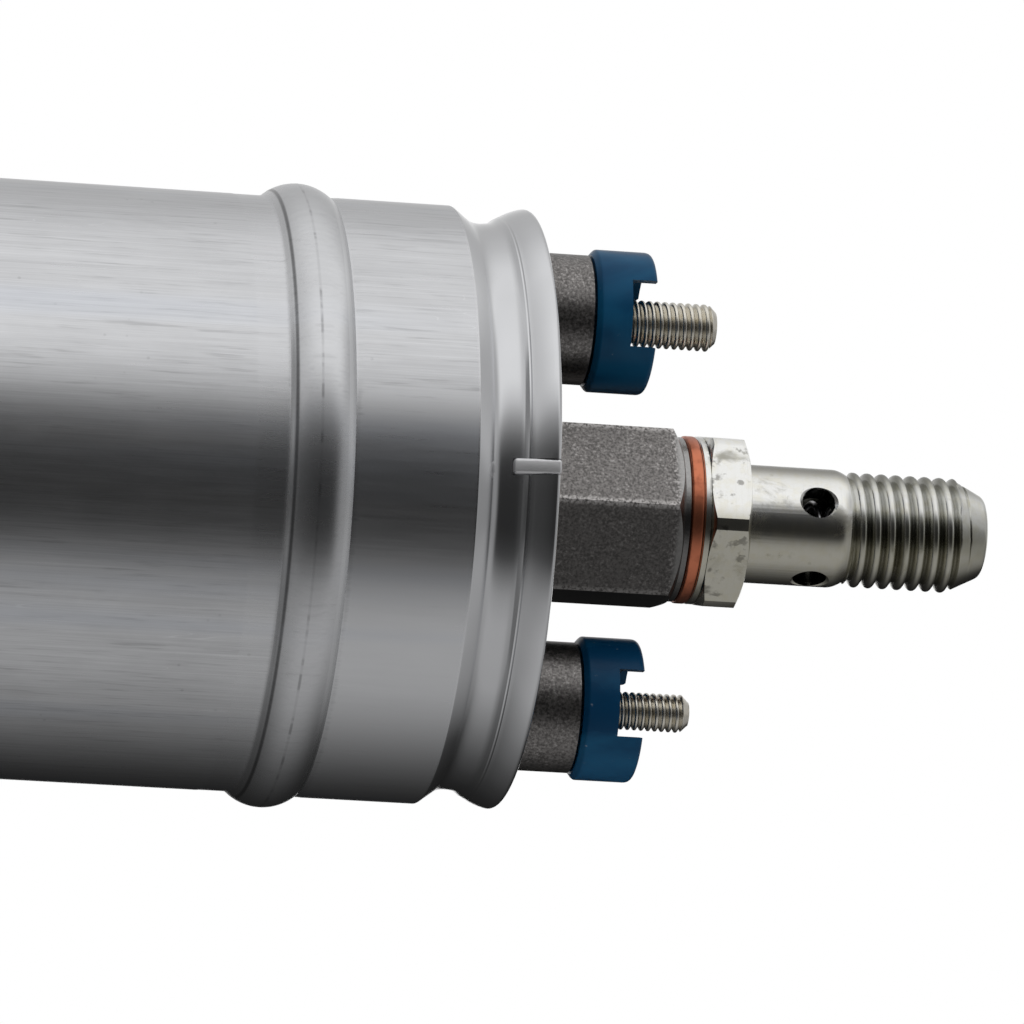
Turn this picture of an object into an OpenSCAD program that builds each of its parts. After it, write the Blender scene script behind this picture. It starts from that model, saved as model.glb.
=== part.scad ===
// Inline roller-cell electric fuel pump, millimetres.
// +X runs along the axis to the outlet, +Z to the larger terminal, -Y to the locating key of the rim.
// The origin is on the axis, midway between the two bead rings.

/* [Housing] */
// Outside diameter of the tube
body_dia = 60; // [50:0.5:70]
// Height of the lands beyond the beads over the tube
land_rise = 0.2; // [0:0.05:1]
// Wall of the tube
tube_wall = 2; // [1:0.1:3]
// Distance between the crests of the two bead rings
bead_span = 100; // [80:1:130]
// Height of a bead over the tube
bead_height = 1.4; // [0.5:0.1:3]
// Radius of a bead's arc
bead_arc = 4.7; // [2:0.1:8]
// From the middle of the tube to its rolled end
half_length = 73.7; // [60:0.1:90]
// From the rolled end back to the crisp edge where the neck starts
neck_start = 8.1; // [6:0.1:12]
// From the rolled end back to the bottom of the neck
neck_bottom = 5.6; // [3:0.1:8]
// Depth of the neck
neck_depth = 1.6; // [0.5:0.1:2.5]
// From the rolled end back to the crease between neck and rim
crease_back = 3; // [2:0.1:4]
// Depth of that crease under the land
crease_depth = 0.55; // [0.2:0.05:1]
// From the tube's bore in to the lip's opening
lip_reach = 1; // [0.5:0.1:3]
// Thickness of the lip that holds a cover
lip_thick = 1.8; // [1:0.1:3]
// Width of the locating key
key_width = 1.5; // [0.8:0.1:4]
// Length of the locating key
key_length = 4.6; // [2:0.1:8]

/* [Outlet cover] */
// From the rolled end back to the cover's outer face
cover_inset = 1; // [0:0.1:4]
// Thickness of the cover
cover_thick = 14.7; // [10:0.1:22]
// From the lip's opening in to a terminal's axis
terminal_inset = 7.2; // [6:0.1:12]
// Diameter of a terminal boss
boss_dia = 13.2; // [10:0.1:18]
// Length of a terminal boss over the cover's face
boss_length = 8.2; // [3:0.1:15]
// Across the flats of the outlet boss
outlet_af = 17; // [14:0.5:24]
// Length of the outlet boss's hexagon over the cover's face
outlet_hex_length = 16.8; // [8:0.1:25]
// Length of the whole outlet boss over the cover's face
outlet_length = 18.3; // [8:0.1:28]
// Diameter of the turned step at the outlet boss's end
outlet_step_dia = 16.7; // [12:0.1:20]
// Radius of the fuel way in the outlet boss
outlet_way = 6.2; // [4:0.1:7]

/* [Terminals] */
// Diameter of an insulator
insulator_dia = 14.5; // [10:0.1:20]
// Thickness of an insulator
insulator_thick = 6.25; // [3:0.05:10]
// Chamfer of an insulator on the side of its boss
foot_chamfer = 0.5; // [0.2:0.1:1]
// Rounding of an insulator on its outer side
crown_round = 0.7; // [0.2:0.1:1.5]
// Width of the slot across an insulator
slot_width = 6.8; // [4:0.1:9]
// Depth of that slot
slot_depth = 2.7; // [1:0.1:4]
// Diameter of the recess in an insulator's outer side
recess_dia = 11.6; // [9:0.1:14]
// Depth of that recess
recess_depth = 2.05; // [1:0.05:4]
// Crest diameter of the positive stud
positive_dia = 4.8; // [4:0.05:6]
// Thread pitch of the positive stud
positive_pitch = 0.8; // [0.5:0.05:1]
// Length of the positive stud over the cover's face
positive_reach = 21.5; // [16:0.1:28]
// Crest diameter of the negative stud
negative_dia = 3.86; // [3:0.02:5]
// Thread pitch of the negative stud
negative_pitch = 0.7; // [0.5:0.05:1]
// Length of the negative stud over the cover's face
negative_reach = 20; // [16:0.1:28]

/* [Outlet valve] */
// Thickness of the sealing washer
washer_thick = 1.25; // [0.5:0.05:3]
// Diameter of the sealing washer and the flange
washer_dia = 17; // [14:0.1:24]
// Thickness of the flange
flange_thick = 0.75; // [0.4:0.05:2]
// Across the flats of the valve's hexagon
valve_af = 17; // [14:0.5:24]
// Thickness of the valve's hexagon
valve_hex_thick = 4.1; // [2:0.1:10]
// Turn of the valve's hexagon about the axis
valve_turn = 9.5; // [-30:0.5:30]
// Depth that turning takes off the corners of the valve's hexagon
valve_corner_cut = 0.33; // [0:0.01:1]
// Diameter of the shank that a banjo sits on
shank_dia = 12; // [8:0.1:16]
// Length of the shank from the hexagon to its fillet
shank_length = 10.7; // [6:0.1:16]
// Crest diameter of the outlet thread
outlet_thread_dia = 11.68; // [8:0.02:16]
// Pitch of the outlet thread
outlet_pitch = 1.5; // [1:0.25:2]
// Number of full crests on the outlet thread
outlet_crests = 8; // [4:1:12]
// From the shank's end to the first crest
crest_lead = 1.6; // [1:0.1:3]
// From the last crest to the valve's tip
tip_length = 2.6; // [1:0.1:5]
// Diameter of each cross hole
cross_dia = 3.4; // [2:0.1:5]
// From the cross holes to the shank's end
cross_back = 3.3; // [2:0.1:6]
// Turn of the cross holes about the axis
cross_turn = -18; // [-90:1:90]
// Radius of the valve's inner way
valve_way = 3.7; // [2:0.1:4.5]
// Radius of the valve ball
valve_ball = 3.2; // [2:0.1:3.6]
// Opening travel of the valve ball
valve_travel = 2; // [1:0.1:4]

/* [Motor] */
// How far the flux ring reaches past each end of the magnets
flux_overlap = 5; // [0:0.5:8]
// How far the magnets reach past each end of the armature core
magnet_overlap = 4; // [0:0.5:8]
// Thickness of a magnet
magnet_thick = 5.7; // [3:0.1:7]
// Thickness of the flux ring
flux_thick = 3.04; // [2:0.02:5]
// Air gap between the armature core and the magnets
air_gap = 0.6; // [0.3:0.1:1]
// Angle that one magnet covers
magnet_angle = 112; // [90:1:150]
// From the pressure plate to the flux ring
pump_room = 6.5; // [4:0.5:12]
// From the flux ring to the commutator
motor_room = 2; // [1:0.5:8]
// Number of winding slots and of commutator bars
slots = 12; // [8:1:16]
// Radius of the shaft
shaft_radius = 3; // [2:0.1:5]
// Radius of the commutator
commutator_radius = 10.5; // [7:0.1:13]
// From the commutator's start to the middle of the brushes
commutator_lead = 7; // [4:0.5:10]
// Length of the commutator
commutator_length = 13; // [8:0.5:18]
// Width of a brush along the axis
brush_width = 6; // [4:0.1:8]
// Height of a brush across the axis
brush_height = 7; // [4:0.1:9]
// Room for a brush spring
brush_room = 5.9; // [4:0.1:8]
// From the outlet cover's inner face back to the middle of the brushes
brush_back = 21; // [16:0.5:26]

/* [Pump] */
// Inner radius of the cam ring
cam_radius = 17.1; // [14:0.05:20]
// Offset of the cam ring from the axis
cam_offset = 1.35; // [0.5:0.05:2.5]
// Radius of the rotor
rotor_radius = 15.6; // [12:0.05:18]
// Thickness of the cam ring
cam_thick = 11.5; // [8:0.1:16]
// Thickness of the pressure plate
plate_thick = 4; // [2:0.5:6]
// Number of rollers
rollers = 5; // [5:1:5]
// Radius of a roller
roller_radius = 2.75; // [2:0.05:4]
// Radius from the axis to a roller that rests in its slot
roller_rest = 12.3; // [10:0.1:14]
// From the covers' rim in to a stack screw's axis
screw_inset = 4.97; // [3:0.01:8]
// Radius of a stack screw
screw_radius = 1.5; // [1:0.1:2.5]
// Radius of the relief ball
relief_ball_radius = 2.2; // [1.5:0.1:3]
// Distance of the relief ball from the axis
relief_offset = 14; // [12:0.1:16]

/* [Inlet] */
// Minor diameter of the inlet thread
inlet_minor_dia = 16.38; // [12:0.02:22]
// Pitch of the inlet thread
inlet_pitch = 1.5; // [1:0.25:2]
// Length of the inlet thread
inlet_thread_length = 8; // [5:0.5:12]
// Diameter of the inlet boss
inlet_boss_dia = 27; // [22:0.5:32]
// Length of the inlet boss over its cover's face
inlet_boss_length = 5.3; // [1:0.1:15]

/* [Clearances] */
// Gap between parts that are pressed or bolted together
seat_gap = 0.03; // [0:0.01:0.1]
// Radial gap where a part turns or slides in another
running_gap = 0.04; // [0.01:0.01:0.1]

/* [Hidden] */
smooth = 96;
small_smooth = 48;
body_r = body_dia / 2;
land_r = body_r + land_rise;
inner_r = body_r - tube_wall;
lip_radius = inner_r - lip_reach;
bead_centre_r = body_r + bead_height - bead_arc;
bead_x = bead_span / 2;
cover_r = inner_r - seat_gap;
cover_face = half_length - cover_inset;
cover_back = cover_face - cover_thick;
lip_back = half_length - lip_thick;
neck_wall = land_r - neck_depth - tube_wall;
groove_r = neck_wall - seat_gap;
seal_cord = 1.13;
seal_x = cover_back + 4;
terminal_offset = lip_radius - terminal_inset;
boss_end = cover_face + boss_length;
outlet_hex_end = cover_face + outlet_hex_length;
outlet_end = cover_face + outlet_length;
positive_tip = cover_face + positive_reach;
negative_tip = cover_face + negative_reach;
insulator_end = boss_end + insulator_thick;
slot_floor = insulator_end - slot_depth;
sleeve_r = 4.2;
sleeve_seat = cover_back + 2;
rolled_rise = 0.2;
inner_washer = 1.5;
post_r = 3.4;
strip_floor = cover_back - 10.5;
strip_thick = 1;
strip_outer = cover_r - 3.37;
strip_width = 3.8;
valve_seat_face = outlet_end + washer_thick;
valve_hex_start = valve_seat_face + flange_thick;
valve_hex_end = valve_hex_start + valve_hex_thick;
valve_corner_r = valve_af / 2 / cos(30) - valve_corner_cut;
shank_end = valve_hex_end + shank_length;
first_crest = shank_end + crest_lead;
last_crest = first_crest + (outlet_crests - 1) * outlet_pitch;
valve_tip = last_crest + tip_length;
cross_x = shank_end - cross_back;
valve_stub_start = outlet_end - 13.8;
valve_stub_r = outlet_way - seat_gap;
valve_bore_end = cross_x + 7.5;
seat_start = valve_stub_start + 2;
seat_face = seat_start + 5;
seat_mouth = 2.2;
ball_x = seat_face + sqrt(pow(valve_ball, 2) - pow(seat_mouth, 2)) + 0.02;
cam_end = -cover_back + plate_thick + cam_thick;
cam_start = cam_end - cam_thick;
intake_x = cam_start - plate_thick;
pressure_x = cam_end + plate_thick;
brush_x = cover_back - brush_back;
commutator_start = brush_x - commutator_lead;
flux_x0 = pressure_x + pump_room;
flux_x1 = commutator_start - motor_room;
flux_length = flux_x1 - flux_x0;
motor_middle = (flux_x0 + flux_x1) / 2;
magnet_length = flux_length - 2 * flux_overlap;
core_length = magnet_length - 2 * magnet_overlap;
flux_outer = inner_r - seat_gap;
magnet_outer = flux_outer - flux_thick - seat_gap;
magnet_inner = magnet_outer - magnet_thick;
core_radius = magnet_inner - air_gap;
flux_inner = magnet_outer + seat_gap;
core_x0 = motor_middle - core_length / 2;
core_x1 = motor_middle + core_length / 2;
slot_centre = core_radius - 5.6;
slot_round = 2.2;
commutator_end = commutator_start + commutator_length;
bar_wall = 2;
bush_r = 6;
bush_x0 = cover_back - 6;
bush_x1 = cover_back + 2;
hub_r = 8.2;
hollow_end = cover_back + 6;
funnel_end = cover_back + 10;
hollow_r = hub_r + 3.3;
rib_half = 1.2;
holder_plate = 3;
holder_wall = 1.97;
brush_seat = cover_r - 1.57;
brush_outer = brush_seat - brush_room;
lead_offset = brush_outer - 3;
screw_offset = cover_r - screw_inset;
rotor_gap = 0.05;
relief_hole = 1.5;
relief_x = intake_x - sqrt(pow(relief_ball_radius, 2) - pow(relief_hole, 2)) - 0.02;
relief_bore = 2.6;
relief_end = -cover_back - 9;
relief_angle = 90;
chamber_r = 12.5;
chamber_x0 = -cover_back - 10;
chamber_x1 = chamber_x0 + 2;
inlet_bush_x0 = chamber_x1 + 1.5;
inlet_end = -cover_face - inlet_boss_length;
strainer_seat = inlet_minor_dia / 2 - 0.29;
coupling_r = 5.5;
tang_width = 3;
tang_depth = 4.5;

// Share of full depth at t from 0 at the neck's edge to 1 at its bottom.
function dip(t) = (1 - cos(180 * pow(t, 0.84))) / 2;
// A curve from a to c that leans towards b.
function bend(a, b, c, n = 6) = [for (i = [0 : n]) let (t = i / n)
    (1 - t) * (1 - t) * a + 2 * t * (1 - t) * b + t * t * c];
function steps(n) = [for (i = [0 : n]) i / n];
function mirrored(points) = [for (i = [len(points) - 1 : -1 : 1]) [points[i][0], -points[i][1]]];
function flipped(points) = [for (p = points) [p[0], -p[1]]];

// Outside of the tube from its middle to its rolled end, as radius and X.
neck_x0 = half_length - neck_start;
neck_x1 = half_length - neck_bottom;
crease_x = half_length - crease_back;
outer_half = concat(
    [[body_r, 0], [body_r, bead_x], [land_r, bead_x + 0.1], [land_r, neck_x0]],
    bend([land_r - 0.7 * neck_depth, neck_x0 + 1.4], [land_r - 1.09 * neck_depth, neck_x0 + 2.2],
        [land_r - 0.91 * neck_depth, neck_x0 + 3.6]),
    bend([land_r - 0.86 * neck_depth, neck_x0 + 3.9], [land_r - 0.83 * neck_depth, neck_x0 + 4.05],
        [land_r - 0.65 * neck_depth, neck_x0 + 4.4], 4),
    [[land_r - crease_depth, crease_x]],
    bend([land_r - 0.02, crease_x + 1.2], [land_r + 0.2, crease_x + 1.9],
        [land_r - 0.1, half_length - 0.5]),
    bend([land_r - 0.15, half_length - 0.42], [land_r - 0.3, half_length],
        [land_r - 0.9, half_length], 5),
    [[lip_radius + 0.3, half_length], [lip_radius, half_length - 0.3]]
);
// Inside of the tube from its rolled end back to its middle.
inner_half = concat(
    [[lip_radius, lip_back], [inner_r, lip_back - 0.6]],
    [for (t = steps(8)) [inner_r - (inner_r - neck_wall) * dip(t),
        lip_back - 1.6 + (neck_x1 - lip_back + 1.6) * t]],
    [for (t = steps(8)) if (t > 0) [inner_r - (inner_r - neck_wall) * dip(1 - t),
        neck_x1 + (neck_x0 + 0.4 - neck_x1) * t]],
    [[inner_r, 0]]
);

// A turned solid from radius and X points.
module turned(points) rotate([0, 90, 0]) rotate_extrude($fn = smooth) polygon(points);
module rod(x0, x1, r, fn = smooth) translate([x0, 0, 0]) rotate([0, 90, 0])
    cylinder(h = x1 - x0, r = r, $fn = fn);
module taper(x0, x1, r0, r1) translate([x0, 0, 0]) rotate([0, 90, 0])
    cylinder(h = x1 - x0, r1 = r0, r2 = r1, $fn = smooth);
module pipe(x0, x1, outer, inner) difference() {
    rod(x0, x1, outer);
    rod(x0 - 1, x1 + 1, inner);
}
// A six-sided bar whose corners point along Y before it is turned.
module hexagon(x0, x1, flats, turn = 0) rotate([turn, 0, 0]) translate([x0, 0, 0]) rotate([0, 90, 0])
    rotate([0, 0, 30]) cylinder(h = x1 - x0, r = flats / 2 / cos(30), $fn = 6);
module block(low, high) translate(low) cube([for (i = [0 : 2]) high[i] - low[i]]);
// A flat sector prism between two angles, measured from +Y towards +Z.
module sector(x0, x1, from, to, reach = 60) rotate([from, 0, 0]) translate([x0, 0, 0])
    rotate([90, 0, 90]) linear_extrude(height = x1 - x0)
    polygon(concat([[0, 0]], [for (t = steps(6)) reach * [cos((to - from) * t), sin((to - from) * t)]]));
module arc_bar(x0, x1, outer, inner, from, to) intersection() {
    pipe(x0, x1, outer, inner);
    sector(x0 - 1, x1 + 1, from, to);
}
module ring_of(count, start = 0) for (i = [0 : count - 1])
    rotate([start + i * 360 / count, 0, 0]) children();
// Turned thread ridges, starting and ending at root size.
function ridges(x0, pitch, count, crest, depth) = [for (i = [0 : count - 1])
    for (p = [[-0.44, depth], [-0.07, 0], [0.07, 0], [0.44, depth]])
        [crest - p[1], x0 + (i + p[0]) * pitch]];
module cord_ring(x, r, cord) translate([x, 0, 0]) rotate([0, 90, 0])
    rotate_extrude($fn = smooth) translate([r, 0]) circle(r = cord, $fn = 24);

// A helical spring from x0 to x1 as one closed mesh.
module coil(x0, x1, r, wire, turns, rings = 12, sides = 8) {
    count = turns * rings;
    span = x1 - x0 - 2 * wire;
    points = [for (i = [0 : count]) for (j = [0 : sides - 1])
        let (a = 360 * i / rings, b = 360 * j / sides, ro = r + wire * cos(b))
        [x0 + wire + span * i / count + wire * sin(b), ro * cos(a), ro * sin(a)]];
    quads = [for (i = [0 : count - 1]) for (j = [0 : sides - 1]) let (k = (j + 1) % sides)
        each [[i * sides + j, i * sides + k, (i + 1) * sides + k],
              [i * sides + j, (i + 1) * sides + k, (i + 1) * sides + j]]];
    caps = [[for (j = [sides - 1 : -1 : 0]) j], [for (j = [0 : sides - 1]) count * sides + j]];
    polyhedron(points = points, faces = concat(quads, caps), convexity = 10);
}

// Housing

module housing_tube() color([0.72, 0.72, 0.73]) difference() {
    rotate([0, 90, 0]) rotate_extrude($fn = smooth) difference() {
        union() {
            polygon(concat([[20, half_length - 0.3], [20, -half_length + 0.3]], mirrored(outer_half),
                outer_half));
            for (s = [-1, 1]) translate([bead_centre_r, s * bead_x]) circle(r = bead_arc, $fn = 64);
        }
        polygon(concat([[10, -half_length - 1], [lip_radius, -half_length - 1]], flipped(inner_half),
            [for (i = [len(inner_half) - 2 : -1 : 0]) inner_half[i]],
            [[lip_radius, half_length + 1], [10, half_length + 1]]));
        for (s = [-1, 1]) translate([bead_centre_r, s * bead_x])
            circle(r = bead_arc - tube_wall, $fn = 64);
    }
    block([half_length - key_length - seat_gap, -40, -key_width / 2 - seat_gap],
        [half_length + 1, -10, key_width / 2 + seat_gap]);
}

// Outline of a cover seen from the axis, from its inner face to its outer face.
cover_edge = [
    [cover_r - 0.6, cover_back], [cover_r, cover_back + 0.6], [cover_r, seal_x - 1.3],
    [inner_r - 2 * seal_cord - 0.04, seal_x - 1.3], [inner_r - 2 * seal_cord - 0.04, seal_x + 1.3],
    [cover_r, seal_x + 1.3], [cover_r, neck_x0 + 0.3], [groove_r, neck_x0 + 0.3],
    [groove_r, lip_back - 1.45], [cover_r, lip_back - 1.45], [cover_r, lip_back - 0.66],
    [lip_radius - 0.05, lip_back - 0.06], [lip_radius - 0.05, cover_face - 0.3],
    [lip_radius - 0.35, cover_face]
];

// Outlet end

module outlet_cover() color([0.3, 0.28, 0.27]) difference() {
    union() {
        turned(concat([[0, cover_back]], cover_edge, [[0, cover_face]]));
        rod(bush_x0, bush_x1, hub_r);
        ring_of(3, 30) block([cover_back - 3, hub_r - 0.6, -rib_half],
            [cover_back + 4, hub_r + 3.8, rib_half]);
        for (s = [-1, 1]) translate([0, 0, s * terminal_offset]) {
            rod(cover_face - 1, boss_end, boss_dia / 2);
            taper(cover_face - 0.2, cover_face + 0.8, boss_dia / 2 + 0.8, boss_dia / 2);
        }
        intersection() {
            hexagon(cover_face - 1, outlet_end, outlet_af);
            turned([[0, cover_face - 1], [12, cover_face - 1], [12, outlet_hex_end - 1],
                [outlet_af / 2 / cos(30), outlet_hex_end], [outlet_step_dia / 2, outlet_hex_end + 0.85],
                [outlet_step_dia / 2, outlet_end], [0, outlet_end]]);
        }
        block([half_length - key_length, -land_r - 0.12, -key_width / 2],
            [half_length - 0.02, -groove_r + 1, key_width / 2]);
    }
    difference() {
        union() {
            rod(cover_back - 1, hollow_end, hollow_r);
            taper(hollow_end, funnel_end, hollow_r, outlet_way);
        }
        rod(bush_x0 - 1, bush_x1, hub_r);
        ring_of(3, 30) block([cover_back - 4, hub_r - 0.6, -rib_half],
            [cover_back + 4, hub_r + 4.8, rib_half]);
    }
    rod(funnel_end - 0.1, outlet_end + 1, outlet_way);
    rod(bush_x0 - 1, bush_x1 - 0.5, bush_r + seat_gap);
    rod(bush_x0 - 1, bush_x1 + 1, shaft_radius + 0.6);
    for (s = [-1, 1]) translate([0, 0, s * terminal_offset])
        rod(cover_back - 1, boss_end + 1, sleeve_r + seat_gap);
}
module outlet_cover_seal() color([0.08, 0.08, 0.08])
    cord_ring(seal_x, inner_r - seal_cord - 0.01, seal_cord);

module insulator(side, bore) color([0.02, 0.2, 0.4]) difference() {
    translate([0, 0, side * terminal_offset]) {
        turned(concat([[0, sleeve_seat], [sleeve_r, sleeve_seat], [sleeve_r, boss_end + seat_gap],
            [insulator_dia / 2 - foot_chamfer, boss_end + seat_gap],
            [insulator_dia / 2, boss_end + foot_chamfer]],
            bend([insulator_dia / 2, insulator_end - crown_round],
                [insulator_dia / 2, insulator_end], [insulator_dia / 2 - crown_round, insulator_end]),
            [[0, insulator_end]]));
    }
    translate([0, 0, side * terminal_offset]) rod(sleeve_seat - 1, insulator_end + 1, bore);
    block([slot_floor, -10, side * terminal_offset - slot_width / 2],
        [insulator_end + 1, 10, side * terminal_offset + slot_width / 2]);
    translate([0, 0, side * terminal_offset])
        rod(insulator_end - recess_depth, insulator_end + 1, recess_dia / 2);
}
module positive_insulator() insulator(1, positive_dia / 2 + running_gap);
module negative_insulator() insulator(-1, negative_dia / 2 + running_gap);

module inner_insulator(side, bore) color([0.02, 0.2, 0.4]) translate([0, 0, side * terminal_offset])
    pipe(cover_back - inner_washer, cover_back - seat_gap, 5.3, bore);
module positive_inner_insulator() inner_insulator(1, positive_dia / 2 + running_gap);
module negative_inner_insulator() inner_insulator(-1, negative_dia / 2 + running_gap);

module stud_seal(side, bore) color([0.08, 0.08, 0.08]) translate([0, 0, side * terminal_offset])
    pipe(cover_back, sleeve_seat - seat_gap, sleeve_r, bore);
module positive_stud_seal() stud_seal(1, positive_dia / 2 - rolled_rise + seat_gap);
module negative_stud_seal() stud_seal(-1, negative_dia / 2 - rolled_rise + seat_gap);

module stud(side, dia, pitch, depth, tip) color([0.7, 0.68, 0.62])
    translate([0, 0, side * terminal_offset]) {
        count = floor((tip - 0.55 - slot_floor - 0.3) / pitch);
        rod(strip_floor + strip_thick + seat_gap, cover_back - inner_washer - seat_gap, post_r);
        turned(concat([[0, cover_back - inner_washer - 1],
            [dia / 2 - rolled_rise, cover_back - inner_washer - 1],
            [dia / 2 - rolled_rise, slot_floor - 0.2]],
            ridges(tip - 0.55 - pitch * count, pitch, count + 1, dia / 2, depth),
            [[dia / 2 - depth, tip - 0.2], [dia / 2 - depth - 0.35, tip], [0, tip]]));
    }
module positive_stud() stud(1, positive_dia, positive_pitch, 0.45, positive_tip);
module negative_stud() stud(-1, negative_dia, negative_pitch, 0.4, negative_tip);

// Outlet valve

module outlet_washer() color([0.72, 0.38, 0.25]) difference() {
    turned([[0, outlet_end], [washer_dia / 2 - 0.2, outlet_end], [washer_dia / 2, outlet_end + 0.2],
        [washer_dia / 2, valve_seat_face - 0.2], [washer_dia / 2 - 0.2, valve_seat_face],
        [0, valve_seat_face]]);
    rod(outlet_end - 1, valve_seat_face + 1, outlet_way);
}
module check_valve_body() color([0.8, 0.8, 0.76]) {
    thread_r = outlet_thread_dia / 2;
    hex_start = valve_hex_start;
    difference() {
        union() {
            turned(concat([[0, valve_stub_start], [valve_stub_r - 0.8, valve_stub_start]],
                ridges(valve_stub_start + 1.1, 1.5, 8, valve_stub_r, 0.8),
                [[valve_stub_r - 0.8, outlet_end - 1], [valve_stub_r, outlet_end - 0.6],
                 [valve_stub_r, valve_seat_face + seat_gap],
                 [washer_dia / 2 - 0.1, valve_seat_face + seat_gap],
                 [washer_dia / 2, valve_seat_face + 0.12], [washer_dia / 2, hex_start],
                 [shank_dia / 2, hex_start]],
                bend([shank_dia / 2, shank_end - 1.3], [shank_dia / 2, shank_end - 0.6],
                    [shank_dia / 2 - 0.5, shank_end + 0.3]),
                [[thread_r - 0.85, shank_end + 0.6]],
                ridges(first_crest, outlet_pitch, outlet_crests - 1, thread_r, 0.85),
                [[thread_r - 0.85, last_crest - 0.44 * outlet_pitch],
                 [thread_r, last_crest - 0.07 * outlet_pitch], [thread_r, last_crest + 0.07 * outlet_pitch],
                 [thread_r - 0.35, last_crest + 0.55], [thread_r - 1.44, valve_tip - 0.4],
                 [thread_r - 1.9, valve_tip - 0.1], [thread_r - 2.4, valve_tip], [0, valve_tip]]));
            intersection() {
                hexagon(hex_start - 0.01, valve_hex_end, valve_af, valve_turn);
                turned([[0, hex_start - 0.1], [valve_af / 2 + 0.1, hex_start - 0.1],
                    [valve_corner_r, hex_start + 0.35],
                    [valve_corner_r, valve_hex_end - 0.5],
                    [valve_af / 2 - 0.05, valve_hex_end], [0, valve_hex_end]]);
            }
        }
        turned([[0, valve_stub_start - 1], [valve_way, valve_stub_start - 1], [valve_way, valve_bore_end],
            [0, valve_bore_end + 1.5]]);
        ring_of(4, 180 + cross_turn) translate([cross_x, 0, 0]) rotate([-90, 0, 0])
            cylinder(h = shank_dia, r = cross_dia / 2, $fn = small_smooth);
    }
}
module check_valve_seat() color([0.75, 0.62, 0.35]) difference() {
    rod(seat_start, seat_face, valve_way - seat_gap);
    rod(seat_start - 1, seat_face + 1, seat_mouth);
}
module check_valve_ball() color([0.75, 0.75, 0.77]) translate([ball_x, 0, 0])
    sphere(r = valve_ball, $fn = small_smooth);
module check_valve_spring() color([0.6, 0.6, 0.62]) coil(ball_x + 2.32, valve_bore_end - 0.03, 2.4, 0.35, 9);

// Brush gear

module brush_holder() color([0.12, 0.12, 0.12]) difference() {
    union() {
        pipe(strip_floor - holder_plate, cover_back - seat_gap, cover_r, cover_r - holder_wall - 0.5);
        pipe(strip_floor - holder_plate, strip_floor - seat_gap, cover_r - holder_wall,
            commutator_radius + 1.5);
        for (s = [0, 180]) rotate([s, 0, 0])
            block([brush_x - brush_width / 2 - 1.5, commutator_radius + 1.5, -brush_height / 2 - 1.5],
                [strip_floor - holder_plate + 0.1, brush_seat + 0.6, brush_height / 2 + 1.5]);
    }
    for (s = [0, 180]) rotate([s, 0, 0]) {
        block([brush_x - brush_width / 2 - running_gap, commutator_radius + 0.5,
            -brush_height / 2 - running_gap],
            [brush_x + brush_width / 2 + running_gap, brush_seat, brush_height / 2 + running_gap]);
        block([brush_x, lead_offset - 0.9, -1], [strip_floor + 1, lead_offset + 2.9, 1]);
    }
}
module brush() color([0.2, 0.18, 0.17]) difference() {
    block([brush_x - brush_width / 2, commutator_radius - 2.5, -brush_height / 2],
        [brush_x + brush_width / 2, brush_outer, brush_height / 2]);
    rod(brush_x - 10, brush_x + 10, commutator_radius + 0.05);
}
module positive_brush() brush();
module negative_brush() rotate([180, 0, 0]) brush();
module brush_spring() color([0.6, 0.6, 0.62]) translate([brush_x, 0, 0]) rotate([0, 0, 90])
    coil(brush_outer + 0.02, brush_seat - 0.02, 2.4, 0.35, 4);
module positive_brush_spring() brush_spring();
module negative_brush_spring() rotate([180, 0, 0]) brush_spring();
module brush_lead() color([0.7, 0.42, 0.25]) {
    top = strip_floor + strip_thick + 0.72;
    translate([0, lead_offset, 0]) rod(brush_x + brush_width / 2 + 0.02, top, 0.7, 24);
    translate([top, lead_offset, 0]) sphere(r = 0.7, $fn = 24);
    translate([top, lead_offset, 0]) rotate([-90, 0, 0])
        cylinder(h = strip_outer - 1.8 - lead_offset, r = 0.7, $fn = 24);
}
module positive_brush_lead() brush_lead();
module negative_brush_lead() rotate([180, 0, 0]) brush_lead();
module contact_strip() color([0.75, 0.6, 0.35])
    arc_bar(strip_floor, strip_floor + strip_thick, strip_outer, strip_outer - strip_width, -8, 98);
module positive_contact_strip() contact_strip();
module negative_contact_strip() rotate([180, 0, 0]) contact_strip();

// Motor

module flux_ring() color([0.35, 0.35, 0.37])
    pipe(motor_middle - flux_length / 2, motor_middle + flux_length / 2, flux_outer, flux_inner);
module magnet(turn) color([0.22, 0.22, 0.24])
    arc_bar(motor_middle - magnet_length / 2, motor_middle + magnet_length / 2, magnet_outer,
        magnet_inner, turn - magnet_angle / 2, turn + magnet_angle / 2);
module front_magnet() magnet(180);
module rear_magnet() magnet(0);
module magnet_clip(turn) color([0.6, 0.6, 0.62])
    arc_bar(motor_middle - magnet_length * 0.4, motor_middle + magnet_length * 0.4, magnet_outer,
        magnet_outer - 1.2,
        turn - 89.8 + magnet_angle / 2, turn + 89.8 - magnet_angle / 2);
module upper_magnet_clip() magnet_clip(90);
module lower_magnet_clip() magnet_clip(270);

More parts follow.
